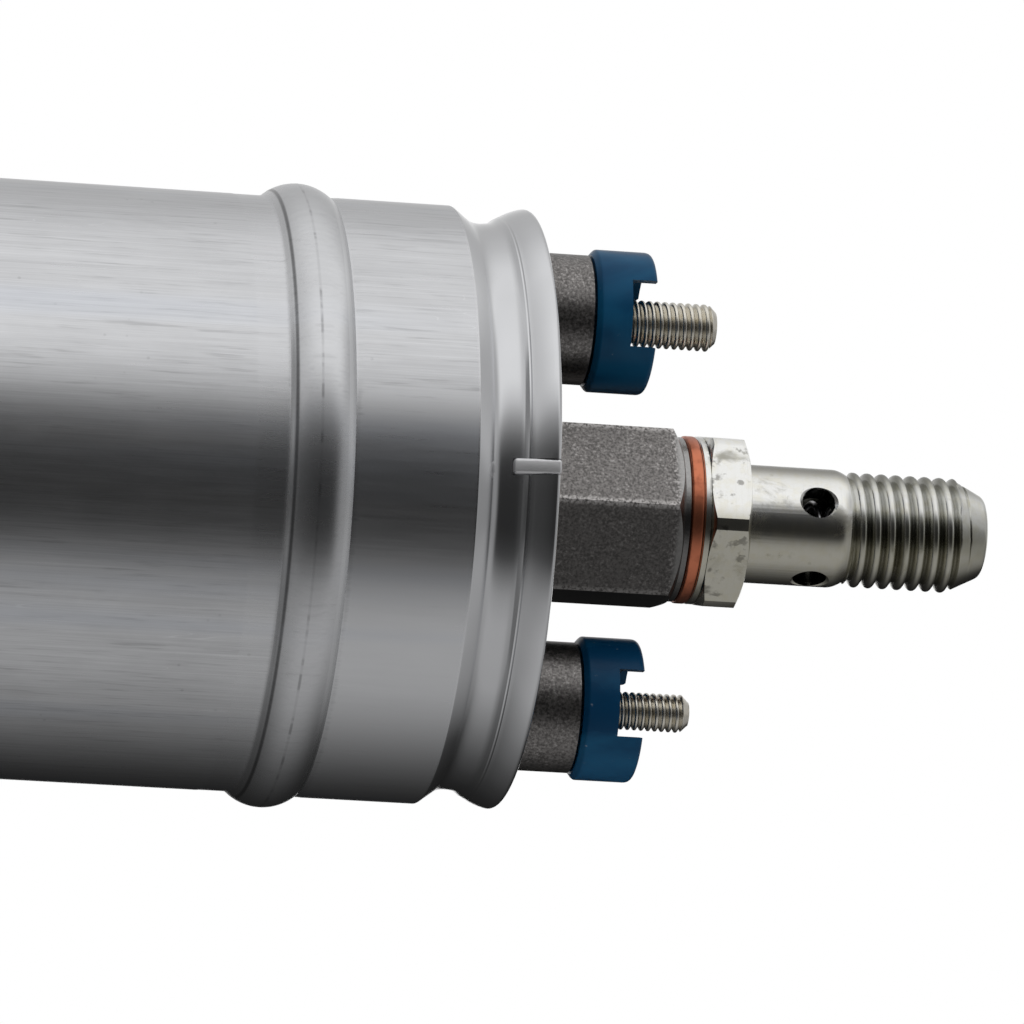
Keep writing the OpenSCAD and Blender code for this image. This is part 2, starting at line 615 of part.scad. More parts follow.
module armature_shaft() color([0.7, 0.7, 0.72]) turned([[0, inlet_bush_x0 + 0.5],
    [shaft_radius - 0.4, inlet_bush_x0 + 0.5], [shaft_radius, inlet_bush_x0 + 0.9],
    [shaft_radius, bush_x1 + 0.6], [shaft_radius - 0.4, bush_x1 + 1], [0, bush_x1 + 1]]);
module armature_core() color([0.4, 0.4, 0.42]) difference() {
    pipe(core_x0, core_x1, core_radius, shaft_radius + seat_gap);
    ring_of(slots) {
        translate([0, slot_centre, 0]) rod(core_x0 - 1, core_x1 + 1, slot_round, small_smooth);
        block([core_x0 - 1, slot_centre, -0.9], [core_x1 + 1, core_radius + 1, 0.9]);
    }
}
module armature_windings() color([0.55, 0.27, 0.12]) {
    ring_of(slots) translate([0, slot_centre, 0])
        rod(core_x0 - 0.6, core_x1 + 0.6, slot_round - seat_gap, small_smooth);
    for (s = [0, 1]) translate([s == 0 ? core_x1 + seat_gap : core_x0 - seat_gap, 0, 0])
        mirror([s, 0, 0]) turned([[shaft_radius + 2, 0], [core_radius - 1.6, 0], [core_radius - 1.2, 2],
            [core_radius - 2.6, 5], [core_radius - 6.6, 6.6], [shaft_radius + 4.5, 5.6],
            [shaft_radius + 2, 3]]);
}
module commutator_bars() color([0.72, 0.42, 0.28]) difference() {
    pipe(commutator_start, commutator_end, commutator_radius, commutator_radius - bar_wall);
    ring_of(slots, 15) block([commutator_start - 1, 0, -0.3], [commutator_end + 1, 20, 0.3]);
}
module commutator_hub() color([0.15, 0.1, 0.08])
    pipe(commutator_start - 0.5, commutator_end + 0.5, commutator_radius - bar_wall - seat_gap,
        shaft_radius + seat_gap);
module retaining_ring() color([0.3, 0.3, 0.32])
    pipe(bush_x0 - 1.8, bush_x0 - 1, 5, shaft_radius + seat_gap);
module thrust_washer() color([0.8, 0.78, 0.7])
    pipe(bush_x0 - 0.95, bush_x0 - 0.05, 5.6, shaft_radius + seat_gap);
module outlet_bush() color([0.6, 0.45, 0.25])
    pipe(bush_x0, bush_x1 - 0.5 - seat_gap, bush_r, shaft_radius + running_gap);
module inlet_bush() color([0.6, 0.45, 0.25])
    pipe(inlet_bush_x0 + seat_gap, intake_x - seat_gap, bush_r, shaft_radius + running_gap);

// Pump

module drive_coupling() color([0.5, 0.5, 0.52]) intersection() {
    pipe(cam_end - tang_depth, cam_end + 9.5, coupling_r, shaft_radius + seat_gap);
    union() {
        rod(cam_end + rotor_gap, cam_end + 10, 20);
        block([cam_end - 20, -20, -tang_width / 2], [cam_end + 1, 20, tang_width / 2]);
    }
}
module pump_rotor() color([0.55, 0.55, 0.57]) difference() {
    pipe(cam_start + rotor_gap, cam_end - rotor_gap, rotor_radius, shaft_radius + seat_gap);
    ring_of(rollers, 90) {
        translate([0, roller_rest - 0.2, 0])
            rod(cam_start - 1, cam_end + 1, roller_radius + running_gap, small_smooth);
        block([cam_start - 1, roller_rest - 0.2, -roller_radius - running_gap],
            [cam_end + 1, rotor_radius + 1, roller_radius + running_gap]);
    }
    block([cam_end - tang_depth - 0.1, -coupling_r - 0.05, -tang_width / 2 - seat_gap],
        [cam_end + 1, coupling_r + 0.05, tang_width / 2 + seat_gap]);
}
module roller(place) color([0.75, 0.75, 0.77]) rotate([90 + (place - 1) * 360 / rollers, 0, 0])
    translate([0, roller_rest, 0])
    rod(cam_start + rotor_gap, cam_end - rotor_gap, roller_radius, small_smooth);
module roller_1() roller(1);
module roller_2() roller(2);
module roller_3() roller(3);
module roller_4() roller(4);
module roller_5() roller(5);

module screw_holes(x0, x1) for (s = [-1, 1]) translate([0, 0, s * screw_offset])
    rod(x0, x1, screw_radius + seat_gap, small_smooth);
module cam_ring() color([0.45, 0.45, 0.47]) difference() {
    rod(cam_start + 0.01, cam_end - 0.01, cover_r);
    translate([0, cam_offset, 0]) rod(cam_start - 1, cam_end + 1, cam_radius);
    screw_holes(cam_start - 1, cam_end + 1);
}
module pressure_plate() color([0.5, 0.5, 0.52]) difference() {
    pipe(cam_end, pressure_x, cover_r, coupling_r + 0.2);
    arc_bar(cam_end - 1, pressure_x + 1, 16.8, 12, 35, 145);
    screw_holes(cam_end - 1, pressure_x + 1);
}
module intake_plate() color([0.5, 0.5, 0.52]) difference() {
    pipe(intake_x, cam_start, cover_r, shaft_radius + 0.3);
    arc_bar(intake_x - 1, cam_start + 1, 16.8, 12, 215, 325);
    arc_bar(cam_start - 0.8, cam_start + 1, 16.8, 12, 35, 145);
    rotate([relief_angle, 0, 0]) translate([0, relief_offset, 0])
        rod(intake_x - 1, cam_start, relief_hole, small_smooth);
    screw_holes(intake_x - 1, cam_start + 1);
}
module stack_screw(side) color([0.6, 0.6, 0.62]) translate([0, 0, side * screw_offset]) difference() {
    union() {
        rod(chamber_x1 + 0.1, pressure_x + 0.5, screw_radius, small_smooth);
        rod(pressure_x + seat_gap, pressure_x + 2.5, 2.75, small_smooth);
    }
    translate([pressure_x + 1.2, 0, 0]) rotate([0, 90, 0]) cylinder(h = 3, r = 1.45, $fn = 6);
}
module upper_stack_screw() stack_screw(1);
module lower_stack_screw() stack_screw(-1);
module relief_ball() color([0.75, 0.75, 0.77]) rotate([relief_angle, 0, 0])
    translate([relief_x, relief_offset, 0]) sphere(r = relief_ball_radius, $fn = small_smooth);
module relief_spring() color([0.6, 0.6, 0.62]) rotate([relief_angle, 0, 0])
    translate([0, relief_offset, 0]) coil(relief_end + 0.03, relief_x - 1.66, 1.6, 0.3, 5);

// Inlet end

module inlet_cover() color([0.3, 0.28, 0.27]) {
    crests = floor((inlet_thread_length - 0.6) / inlet_pitch);
    difference() {
        union() {
            turned(concat([[0, -cover_back]], [for (p = cover_edge) [p[0], -p[1]]], [[0, -cover_face]]));
            turned([[0, inlet_end], [inlet_boss_dia / 2 - 0.6, inlet_end],
                [inlet_boss_dia / 2, inlet_end + 0.6], [inlet_boss_dia / 2, -cover_face - 0.6],
                [inlet_boss_dia / 2 + 0.7, -cover_face + 0.1], [0, -cover_face + 0.1]]);
        }
        turned(concat([[0, inlet_end - 1], [inlet_minor_dia / 2 + 0.9, inlet_end - 1],
            [inlet_minor_dia / 2 + 0.9, inlet_end], [inlet_minor_dia / 2, inlet_end + 0.6]],
            [for (p = ridges(inlet_end + 1.4, inlet_pitch, crests, inlet_minor_dia / 2 + 0.81, 0.81)) p],
            [[inlet_minor_dia / 2, inlet_end + inlet_thread_length],
             [strainer_seat, inlet_end + inlet_thread_length], [strainer_seat, chamber_x0],
             [chamber_r, chamber_x0], [chamber_r, chamber_x1], [0, chamber_x1]]));
        rod(inlet_bush_x0, intake_x + 1, bush_r + seat_gap);
        arc_bar(chamber_x1 - 1, intake_x + 1, 11.4, 8, 215, 325);
        arc_bar(intake_x - 2, intake_x + 1, 16.8, 8, 215, 325);
        rotate([relief_angle, 0, 0]) translate([0, relief_offset, 0])
            rod(relief_end, intake_x + 1, relief_bore, small_smooth);
        screw_holes(chamber_x1, intake_x + 1);
    }
}
module inlet_cover_seal() color([0.08, 0.08, 0.08])
    cord_ring(-seal_x, inner_r - seal_cord - 0.01, seal_cord);
module inlet_strainer() color([0.7, 0.7, 0.72]) difference() {
    union() {
        pipe(chamber_x0 - 1.6, chamber_x0 - 0.05, strainer_seat - seat_gap, strainer_seat - 1);
        rod(chamber_x0 - 0.45, chamber_x0 - 0.05, strainer_seat - 0.7);
    }
    for (ring = [1 : 3]) ring_of(ring * 6) translate([chamber_x0 - 2, ring * 2, 0])
        rod(0, 3, 0.55, 24);
    rod(chamber_x0 - 2, chamber_x0 + 1, 0.55, 24);
}

housing_tube();
outlet_cover();
outlet_cover_seal();
positive_insulator();
negative_insulator();
positive_inner_insulator();
negative_inner_insulator();
positive_stud_seal();
negative_stud_seal();
positive_stud();
negative_stud();
outlet_washer();
check_valve_body();
check_valve_seat();
check_valve_ball();
check_valve_spring();
brush_holder();
positive_brush();
negative_brush();
positive_brush_spring();
negative_brush_spring();
positive_brush_lead();
negative_brush_lead();
positive_contact_strip();
negative_contact_strip();
flux_ring();
front_magnet();
rear_magnet();
upper_magnet_clip();
lower_magnet_clip();
armature_shaft();
armature_core();
armature_windings();
commutator_bars();
commutator_hub();
retaining_ring();
thrust_washer();
outlet_bush();
drive_coupling();
pump_rotor();
roller_1();
roller_2();
roller_3();
roller_4();
roller_5();
cam_ring();
pressure_plate();
intake_plate();
upper_stack_screw();
lower_stack_screw();
relief_ball();
relief_spring();
inlet_cover();
inlet_cover_seal();
inlet_bush();
inlet_strainer();
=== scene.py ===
"""Dress of the inline roller-cell electric fuel pump, in metres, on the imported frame.

+X runs along the axis to the outlet, +Z to the larger terminal, -Y to the locating key.
Sizes in the dataclasses are millimetres, as on a drawing.
"""

import logging
import math
from dataclasses import dataclass
from enum import Enum
from functools import reduce
from typing import Callable, Iterable

import bmesh
import bpy
from mathutils import Matrix, Quaternion, Vector

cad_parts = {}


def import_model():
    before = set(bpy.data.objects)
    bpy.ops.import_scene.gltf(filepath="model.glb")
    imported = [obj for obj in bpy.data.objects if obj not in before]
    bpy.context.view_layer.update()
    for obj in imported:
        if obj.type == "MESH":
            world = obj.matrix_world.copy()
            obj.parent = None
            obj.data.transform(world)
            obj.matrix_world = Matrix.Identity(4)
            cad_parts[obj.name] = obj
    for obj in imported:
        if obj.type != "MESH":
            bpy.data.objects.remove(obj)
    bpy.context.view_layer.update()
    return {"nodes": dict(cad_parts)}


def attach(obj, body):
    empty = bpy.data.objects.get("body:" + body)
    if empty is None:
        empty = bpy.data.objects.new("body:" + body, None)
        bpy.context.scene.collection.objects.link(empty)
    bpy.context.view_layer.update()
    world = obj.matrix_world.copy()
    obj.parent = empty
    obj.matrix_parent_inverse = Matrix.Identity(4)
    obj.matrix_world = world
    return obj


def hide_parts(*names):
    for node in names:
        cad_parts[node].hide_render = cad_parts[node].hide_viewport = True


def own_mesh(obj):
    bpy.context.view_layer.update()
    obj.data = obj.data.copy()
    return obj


LOG = logging.getLogger("fuel_pump")
MM = 0.001
Triple = tuple[float, float, float]
Colour = Triple
Point = tuple[float, float]
Mesh = bmesh.types.BMesh
Socket = bpy.types.NodeSocket
ORIGIN: Triple = (0, 0, 0)
THREAD_SHAPE: tuple[Point, ...] = (
    (0.0, 1.0), (0.03, 0.95), (0.08, 0.79), (0.15, 0.54),
    (0.23, 0.30), (0.31, 0.12), (0.40, 0.025), (0.5, 0.0))


# Shader graph


def _math(operation: str, swapped: bool = False) -> Callable[..., "Value"]:
    """Makes a method of Value that adds one Math node.

    Args:
        operation: The node's operation.
        swapped: Whether the other operand stands on the left.

    Returns:
        The method.
    """
    def method(self: "Value", other: "Number" = 0.0) -> "Value":
        """Adds the node and returns its output."""
        operands = (other, self) if swapped else (self, other)
        return self.graph.value("ShaderNodeMath", {"operation": operation}, dict(enumerate(operands)))
    return method


class Value:
    """A number socket of a shader graph, whose operators add Math nodes."""

    __add__, __radd__ = _math("ADD"), _math("ADD", True)
    __sub__, __rsub__ = _math("SUBTRACT"), _math("SUBTRACT", True)
    __mul__, __rmul__ = _math("MULTIPLY"), _math("MULTIPLY", True)
    __truediv__, __pow__, __abs__ = _math("DIVIDE"), _math("POWER"), _math("ABSOLUTE")
    maximum, minimum = _math("MAXIMUM"), _math("MINIMUM")

    def __init__(self, graph: "Graph", socket: Socket) -> None:
        """Keeps the graph and the socket."""
        self.graph, self.socket = graph, socket

    def step(self, low: float, high: float) -> "Value":
        """Maps low to 0 and high to 1 smoothly; low may be the larger.

        Args:
            low: Value that becomes 0.
            high: Value that becomes 1.

        Returns:
            The mask between 0 and 1.
        """
        out = self.graph.value("ShaderNodeMapRange", {"interpolation_type": "SMOOTHSTEP"}, {
            "Value": self, "From Min": min(low, high), "From Max": max(low, high)})
        return 1 - out if low > high else out


Number = float | int | Value
Link = float | int | tuple | Value | Socket


class Graph:
    """A node tree with one way to add a node."""

    def __init__(self, tree: bpy.types.NodeTree) -> None:
        """Empties the tree and keeps it."""
        self.tree = tree
        tree.nodes.clear()

    def node(self, kind: str, settings: dict | None = None, inputs: dict | None = None) -> bpy.types.Node:
        """Adds a node.

        Args:
            kind: The node's type name.
            settings: Properties set first; "stops" sets a ramp's stops.
            inputs: Values or links by socket name or index.

        Returns:
            The new node.
        """
        made = self.tree.nodes.new(kind)
        for key, value in (settings or {}).items():
            if key == "stops":
                stops = made.color_ramp.elements
                while len(stops) < len(value):
                    stops.new(0.5)
                for stop, (place, colour) in zip(stops, value):
                    stop.position = place
                    stop.color = (*colour, 1.0) if isinstance(colour, tuple) else (colour,) * 3 + (1.0,)
            else:
                setattr(made, key, value)
        for key, value in (inputs or {}).items():
            socket = made.inputs[key]
            if isinstance(value, (Value, Socket)):
                self.tree.links.new(value.socket if isinstance(value, Value) else value, socket)
            elif isinstance(value, tuple) and len(value) == 3 and socket.type == "RGBA":
                socket.default_value = (*value, 1.0)
            else:
                socket.default_value = value
        return made

    def value(self, kind: str, settings: dict | None = None, inputs: dict | None = None) -> Value:
        """Adds a node, as node() does, and wraps its first output."""
        return Value(self, self.node(kind, settings, inputs).outputs[0])

    def mix(self, factor: Link, first: Link, second: Link) -> Socket:
        """Mixes two colours; the factor is the share of the second."""
        return self.node("ShaderNodeMix", {"data_type": "RGBA"}, {0: factor, 6: first, 7: second}).outputs[2]

    def layers(self, base: Link, *coats: tuple[Link, Link]) -> Link:
        """Lays colours over a base, each given as its share and the colour."""
        return reduce(lambda under, coat: self.mix(coat[0], under, coat[1]), coats, base)

    def place(self) -> Socket:
        """The object coordinates."""
        return self.node("ShaderNodeTexCoord").outputs["Object"]

    def axes(self) -> tuple[Value, Value, Value]:
        """The object coordinates as three values, in millimetres."""
        split = self.node("ShaderNodeSeparateXYZ", inputs={0: self.place()})
        return tuple(Value(self, split.outputs[i]) * 1000.0 for i in range(3))

    def stretched(self, scale: float | Triple, shift: Triple = ORIGIN, turn: Triple = ORIGIN) -> Socket:
        """Object coordinates, scaled on all axes or on each, shifted, and turned in radians."""
        spread = scale if isinstance(scale, tuple) else (scale,) * 3
        return self.node("ShaderNodeMapping", inputs={
            "Vector": self.place(), "Location": shift, "Rotation": turn, "Scale": spread}).outputs[0]

    def noise(self, scale: float | Triple, detail: float = 2.0, rough: float = 0.5, bend: float = 0.0,
              **mapping: Triple) -> Value:
        """A noise texture's value.

        Args:
            scale: Features per metre, roughly, on all axes or on each.
            detail: Octaves.
            rough: Share of the fine octaves.
            bend: Distortion.
            **mapping: The shift and turn of stretched().

        Returns:
            The noise, around 0.5.
        """
        return self.value("ShaderNodeTexNoise", {"noise_dimensions": "3D"}, {
            "Vector": self.stretched(scale, **mapping), "Scale": 1.0, "Detail": detail, "Roughness": rough,
            "Distortion": bend})

    def cells(self, scale: float, shift: Triple = ORIGIN) -> Value:
        """A Voronoi texture's distance to the nearest point."""
        return self.value("ShaderNodeTexVoronoi", {"feature": "F1"}, {
            "Vector": self.stretched(scale, shift), "Scale": 1.0})

    def bump(self, height: Value, depth_mm: float, strength: float) -> Socket:
        """The normal of a bump whose height of 1 is depth_mm deep."""
        return self.node("ShaderNodeBump", inputs={
            "Strength": strength, "Distance": depth_mm * MM, "Height": height}).outputs[0]

    def surface(self, **sockets: Link) -> None:
        """Ends the material in one Principled shader.

        Args:
            **sockets: Values or links, with underscores for the spaces in a socket's name.
        """
        shader = self.node("ShaderNodeBsdfPrincipled", inputs={
            key.replace("_", " "): value for key, value in sockets.items()})
        self.node("ShaderNodeOutputMaterial", inputs={0: shader.outputs[0]})


def toned(colour: Colour, factor: float) -> Colour:
    """A colour made lighter or darker, at most white."""
    return tuple(min(1.0, channel * factor) for channel in colour)


def new_material(name: str) -> tuple[bpy.types.Material, Graph]:
    """Makes an empty node material and its graph.

    Args:
        name: The material's name.

    Returns:
        The material and the graph.
    """
    made = bpy.data.materials.new(name)
    made.use_nodes = True
    return made, Graph(made.node_tree)


# Finishes


@dataclass(frozen=True)
class Finish:
    """A surface finish that makes its material once."""

    name: str

    def material(self) -> bpy.types.Material:
        """Finds the finish's material, or makes it the first time.

        Returns:
            The material.
        """
        found = bpy.data.materials.get(self.name)
        if found is None:
            found, graph = new_material(self.name)
            self.build(graph)
        return found

    def build(self, graph: Graph) -> None:
        """Adds the finish's nodes to a graph."""
        raise NotImplementedError(self.name)


@dataclass(frozen=True)
class BrushedTube(Finish):
    """Aluminium tube with fine marks along its axis, rolled bands and light handling wear."""

    colour: Colour = (0.66, 0.665, 0.68)
    roughness: float = 0.30
    polished_from: float = 65.4
    bead_x: float = 50.0
    flank: float = 2.65

    def build(self, graph: Graph) -> None:
        """Adds streaks, mottles, scratches, the smoother rolled zones, the beads' roll marks, painted crease
        shade and painted highlight lines at the beads' feet, and a painted sheen on the land.

        Args:
            graph: The material's graph.
        """
        x, _, z = graph.axes()
        streak = graph.noise((16, 2600, 2600), 3.0, 0.6)
        fine = graph.noise((90, 8000, 8000), 2.0, 0.5, shift=(3, 1, 2))
        dash = graph.noise((110, 2300, 2300), 3.0, 0.65, shift=(6, 3, 9))
        broad = graph.noise((5, 110, 110), 2.0, 0.55, shift=(7, 0, 3))
        patch = graph.noise((90, 190, 190), 4.0, 0.62, 0.6, shift=(2, 5, 1))
        cloud = graph.noise((110, 60, 60), 3.0, 0.5, shift=(9, 2, 4))
        along = abs(x)
        off = abs(along - self.bead_x)
        inner = along.step(self.bead_x + 0.5, self.bead_x - 0.5)
        end = along.step(self.polished_from - 0.2, self.polished_from + 0.3)
        band = (abs(along - (self.bead_x - 4.9)) - 1.5).step(0.3, -0.2)
        rolled = end.maximum(off.step(3.5, 3.2) * 0.6).maximum(band * 0.3)
        plain = 1 - rolled
        # Painted crease shade: a dark line at each bead's foot towards the middle of the tube; painted
        # highlight: a light line at its foot towards the end.
        painted_foot_line = abs(off - self.flank).step(0.24, 0.05)
        foot = painted_foot_line * inner - painted_foot_line * (1 - inner) * 0.5
        smudge = graph.noise((200, 420, 420), 3.0, shift=(1, 2, 3)).step(0.48, 0.62)
        mark = abs(along - (self.bead_x - 0.3)).step(0.2, 0.05) * (0.25 + smudge * 0.75)
        scratch = graph.noise((55, 620, 620), 1.0, 0.3, shift=(1, 4, 8), turn=(0.0, 0.05, 0.32))
        scratch = abs(scratch - 0.5).step(0.0035, 0.0)
        scratch = scratch * graph.noise(70, shift=(4, 4, 1)).step(0.55, 0.68) * plain
        speck = graph.cells(430, (3, 2, 5)).step(0.11, 0.04) * graph.noise(160).step(0.5, 0.62) * plain
        tone = 0.90 + (streak - 0.5) * 0.26 * plain + (broad - 0.5) * 0.16 + (patch - 0.5) * 0.22 * plain
        # The foot term paints that crease shade and highlight into the tone.
        tone = tone - dash.step(0.54, 0.72) * 0.16 * plain - foot * 0.6 - mark * 0.35
        tone = tone + (fine - 0.5) * 0.24 * plain + scratch * 0.14 - speck * 0.14 + rolled * 0.04
        # Painted sheen: the land between the bead and the neck is lightened below a height of about 5 mm.
        land = along.step(self.bead_x + 3.4, self.bead_x + 4.2) * z.step(8.0, 5.0) * (1 - end)
        tone = tone + land * 0.25
        cool = broad.step(0.52, 0.70) * 0.35 * plain
        colour = graph.layers((0.0, 0.0, 0.0), (tone, self.colour), (cool, (0.50, 0.54, 0.62)))
        rough = self.roughness + (dash - 0.5) * 0.12 * plain + (cloud - 0.5) * 0.06
        rough = rough - rolled * 0.06 - end * 0.09
        grain = (streak * 0.5 + fine * 0.3 + dash * 0.4) * plain + patch * 0.08
        graph.surface(Base_Color=colour, Metallic=1.0, Roughness=rough, IOR=1.5,
                      Normal=graph.bump(grain, 0.007, 0.4))


@dataclass(frozen=True)
class CastMetal(Finish):
    """Die-cast light alloy with a dark, finely speckled skin and bright worn edges."""

    colour: Colour = (0.207, 0.197, 0.191)
    bright: Colour = (0.55, 0.53, 0.52)
    roughness: float = 0.38
    turned_from: float = 89.6
    turned_to: float = 91.5
    shaded: float = 0.55
    key_y: float = -28.0

    def build(self, graph: Graph) -> None:
        """Adds speckle, stains, a turned zone at the end, a painted shade on the underside and the clean key.

        Args:
            graph: The material's graph.
        """
        x, y, z = graph.axes()
        reach = (y * y + z * z) ** 0.5
        speck = graph.noise(3400, 3.0, 0.72)
        blot = graph.noise(420, 3.0, 0.6, shift=(5, 1, 2))
        pores = graph.cells(1500).step(0.16, 0.05)
        bright = speck.step(0.57, 0.68) * blot.step(0.36, 0.58)
        turned = x.step(self.turned_from - 0.3, self.turned_from + 0.3) * x.step(
            self.turned_to + 0.3, self.turned_to)
        rim = x.step(self.turned_from - 0.9, self.turned_from - 0.1) * speck.step(0.5, 0.6)
        corner = reach.step(9.5, 9.72) * reach.step(10.4, 10.2) * x.step(72.0, 73.5) * speck.step(0.38, 0.55)
        worn = (bright * 0.6 + rim * 0.6 + corner * 0.6).minimum(1.0) * (1 - turned)
        # Painted shade: below the axis and within about 10.5 mm of it the cast colour is darkened.
        under = z.step(0.3, -1.0) * reach.step(10.9, 10.4) * self.shaded
        key = y.step(self.key_y + 0.4, self.key_y) * abs(z).step(0.95, 0.85)
        # The under coat below is that painted shade.
        base = graph.layers(
            toned(self.colour, 0.5), (speck.step(0.34, 0.62), toned(self.colour, 1.2)), (worn, self.bright),
            (turned * 0.7, (0.42, 0.415, 0.41)), (pores * 0.5 * (1 - turned), (0.06, 0.055, 0.05)),
            (under, (0.025, 0.024, 0.023)), (key, (0.80, 0.80, 0.81)))
        rough = self.roughness + (speck - 0.5) * 0.25 * (1 - turned)
        rough = rough - turned * 0.12 - worn * 0.06 + key * 0.16
        graph.surface(Base_Color=base, Metallic=1.0, Roughness=rough,
                      Normal=graph.bump(speck * 0.7 + blot * 0.3, 0.03, 0.5))


@dataclass(frozen=True)
class TurnedPlate(Finish):
    """Plated steel or alloy with turned marks, stains, a yellow tint, and painted shade on its sides and in
    its hollows.
    """

    colour: Colour = (0.78, 0.78, 0.75)
    stain: Colour = (0.36, 0.35, 0.30)
    tint: Colour = (0.74, 0.68, 0.46)
    roughness: float = 0.24
    stained: float = 0.35
    tinted: float = 0.4
    marks_per_mm: float = 9.0
    shaded: float = 0.0
    nut: Point = (92.8, 97.4)
    shank_end: float = 108.0
    thread_end: float = 119.6
    oily_from: float = 900.0

    def build(self, graph: Graph) -> None:
        """Adds turning marks, stains, nicks, tint and oil, with painted shade on the sides, top, holes and
        roots and a painted glare on the oil.

        Args:
            graph: The material's graph.
        """
        x, y, z = graph.axes()
        marks = graph.noise((self.marks_per_mm * 1000, 60, 60), 1.0, 0.5)
        blot = graph.noise(260, 4.0, 0.6, 0.4, shift=(2, 7, 5))
        small = graph.noise(900, 3.0, 0.6, shift=(4, 0, 2))
        spots = graph.cells(520, (6, 2, 1)).step(0.12, 0.05)
        stain = blot.step(0.56, 0.74) * self.stained + spots * 0.35 * blot.step(0.42, 0.55)
        reach = (y * y + z * z) ** 0.5
        nut_start, nut_end = self.nut
        past_nut = x.step(nut_end, nut_end + 0.6)
        # Painted shade: the lower half, and past the nut the top edge, are darkened towards a dark tint.
        side_shade = z.step(0.8, -1.5).maximum(z.step(3.2, 6.0) * past_nut) * self.shaded
        glare = (z.step(0.6, 1.8) * z.step(4.4, 3.2)).maximum(z.step(-1.8, -3.0))
        oil = x.step(self.oily_from - 0.5, self.oily_from + 0.4) * (0.3 + small * 0.3)
        soil = graph.noise((620, 520, 760), 3.0, 0.6, shift=(3, 8, 1))
        worn = soil.step(0.58, 0.68) + soil.step(0.50, 0.60) * x.step(nut_start + 1.4, nut_start + 0.5)
        worn = worn.minimum(1.0) * x.step(nut_start - 0.2, nut_start + 0.2) * x.step(nut_end, nut_end - 0.3)
        # Painted shade: inside the cross holes, in the thread roots and on the top past the nut the plating
        # is darkened.
        holes = reach.step(5.75, 5.55) * past_nut * x.step(self.shank_end, self.shank_end - 0.8)
        root_shade = reach.step(5.5, 4.95) * x.step(self.oily_from, self.oily_from + 0.5)
        root_shade = root_shade * x.step(self.thread_end, self.thread_end - 1.0) * 0.27
        crown_shade = z.step(3.7, 6.2) * past_nut * self.shaded
        dark = (holes * self.shaded * 1.6).maximum(root_shade).maximum(crown_shade).minimum(1.0)
        base = graph.layers(
            self.colour, (small.step(0.45, 0.65) * self.tinted, self.tint), (stain.minimum(1.0), self.stain),
            ((marks - 0.5).step(0.05, 0.3) * 0.15, toned(self.colour, 0.7)), (side_shade, toned(self.tint, 0.42)),
            (oil * (1 - glare * 0.6), (0.22, 0.225, 0.18)), (worn * self.shaded, (0.10, 0.095, 0.08)),
            (dark, (0.035, 0.035, 0.03)))
        rough = self.roughness + (small - 0.5) * 0.12 + stain * 0.2 + (marks - 0.5) * 0.06
        graph.surface(Base_Color=base, Metallic=1.0, Roughness=rough,
                      Normal=graph.bump(marks * 0.7 + small * 0.3, 0.006, 0.35))


@dataclass(frozen=True)
class SoftMetal(Finish):
    """Copper, bronze or similar with a satin skin and darker patches."""

    colour: Colour = (0.78, 0.36, 0.22)
    dark: Colour = (0.36, 0.16, 0.10)
    roughness: float = 0.32
    patches: float = 0.4
    scale: float = 500.0
    dents_mm: float = 0.01

    def build(self, graph: Graph) -> None:
        """Adds patches and fine scratches.

        Args:
            graph: The material's graph.
        """
        patch = graph.noise(self.scale, 4.0, 0.6)
        fine = graph.noise((4000, 900, 900), 2.0, 0.5)
        base = graph.layers(self.colour, (patch.step(0.45, 0.72) * self.patches, self.dark),
                            ((fine - 0.5).step(0.0, 0.25) * 0.15, toned(self.colour, 1.2)))
        graph.surface(Base_Color=base, Metallic=1.0, Roughness=self.roughness + (patch - 0.5) * 0.2,
                      Normal=graph.bump(fine * 0.5 + patch * 0.5, self.dents_mm, 0.4))


@dataclass(frozen=True)
class Moulding(Finish):
    """Moulded plastic with a faint skin texture, dust and flow marks."""

    colour: Colour = (0.001, 0.026, 0.066)
    pale: Colour = (0.006, 0.078, 0.155)
    roughness: float = 0.28
    specular: float = 0.10
    coat: float = 0.0

    def build(self, graph: Graph) -> None:
        """Adds flow marks, dust and a fine skin.

        Args:
            graph: The material's graph.
        """
        flow = graph.noise((90, 160, 160), 3.0, 0.5, 0.5, shift=(1, 3, 2))
        skin = graph.noise(3200, 2.0, 0.6)
        dust = graph.cells(640, (2, 1, 3)).step(0.13, 0.05)
        dust = dust * skin.step(0.48, 0.6)
        base = graph.layers(self.colour, (flow.step(0.35, 0.75) * 0.5, self.pale),
                            (dust * 0.30, (0.30, 0.31, 0.32)))
        graph.surface(Base_Color=base, Metallic=0.0, Specular_IOR_Level=self.specular,
                      Roughness=self.roughness + (flow - 0.5) * 0.12 + dust * 0.2,
                      Coat_Weight=self.coat, Coat_Roughness=0.12,
                      Normal=graph.bump(skin * 0.6 + flow * 0.4, 0.012, 0.3))


@dataclass(frozen=True)
class Sintered(Finish):
    """Dark dull solid such as carbon or ferrite, with grain and chips."""

    colour: Colour = (0.045, 0.043, 0.042)
    light: Colour = (0.12, 0.115, 0.11)
    roughness: float = 0.6
    metallic: float = 0.2

    def build(self, graph: Graph) -> None:
        """Adds grain and pale chips.

        Args:
            graph: The material's graph.
        """
        grain = graph.noise(2400, 4.0, 0.7)
        chips = graph.cells(700).step(0.2, 0.06)
        base = graph.layers(self.colour, (grain.step(0.45, 0.7) * 0.6, self.light),
                            (chips * 0.35, toned(self.light, 1.8)))
        graph.surface(Base_Color=base, Metallic=self.metallic, Roughness=self.roughness + (grain - 0.5) * 0.2,
                      Normal=graph.bump(grain, 0.03, 0.6))


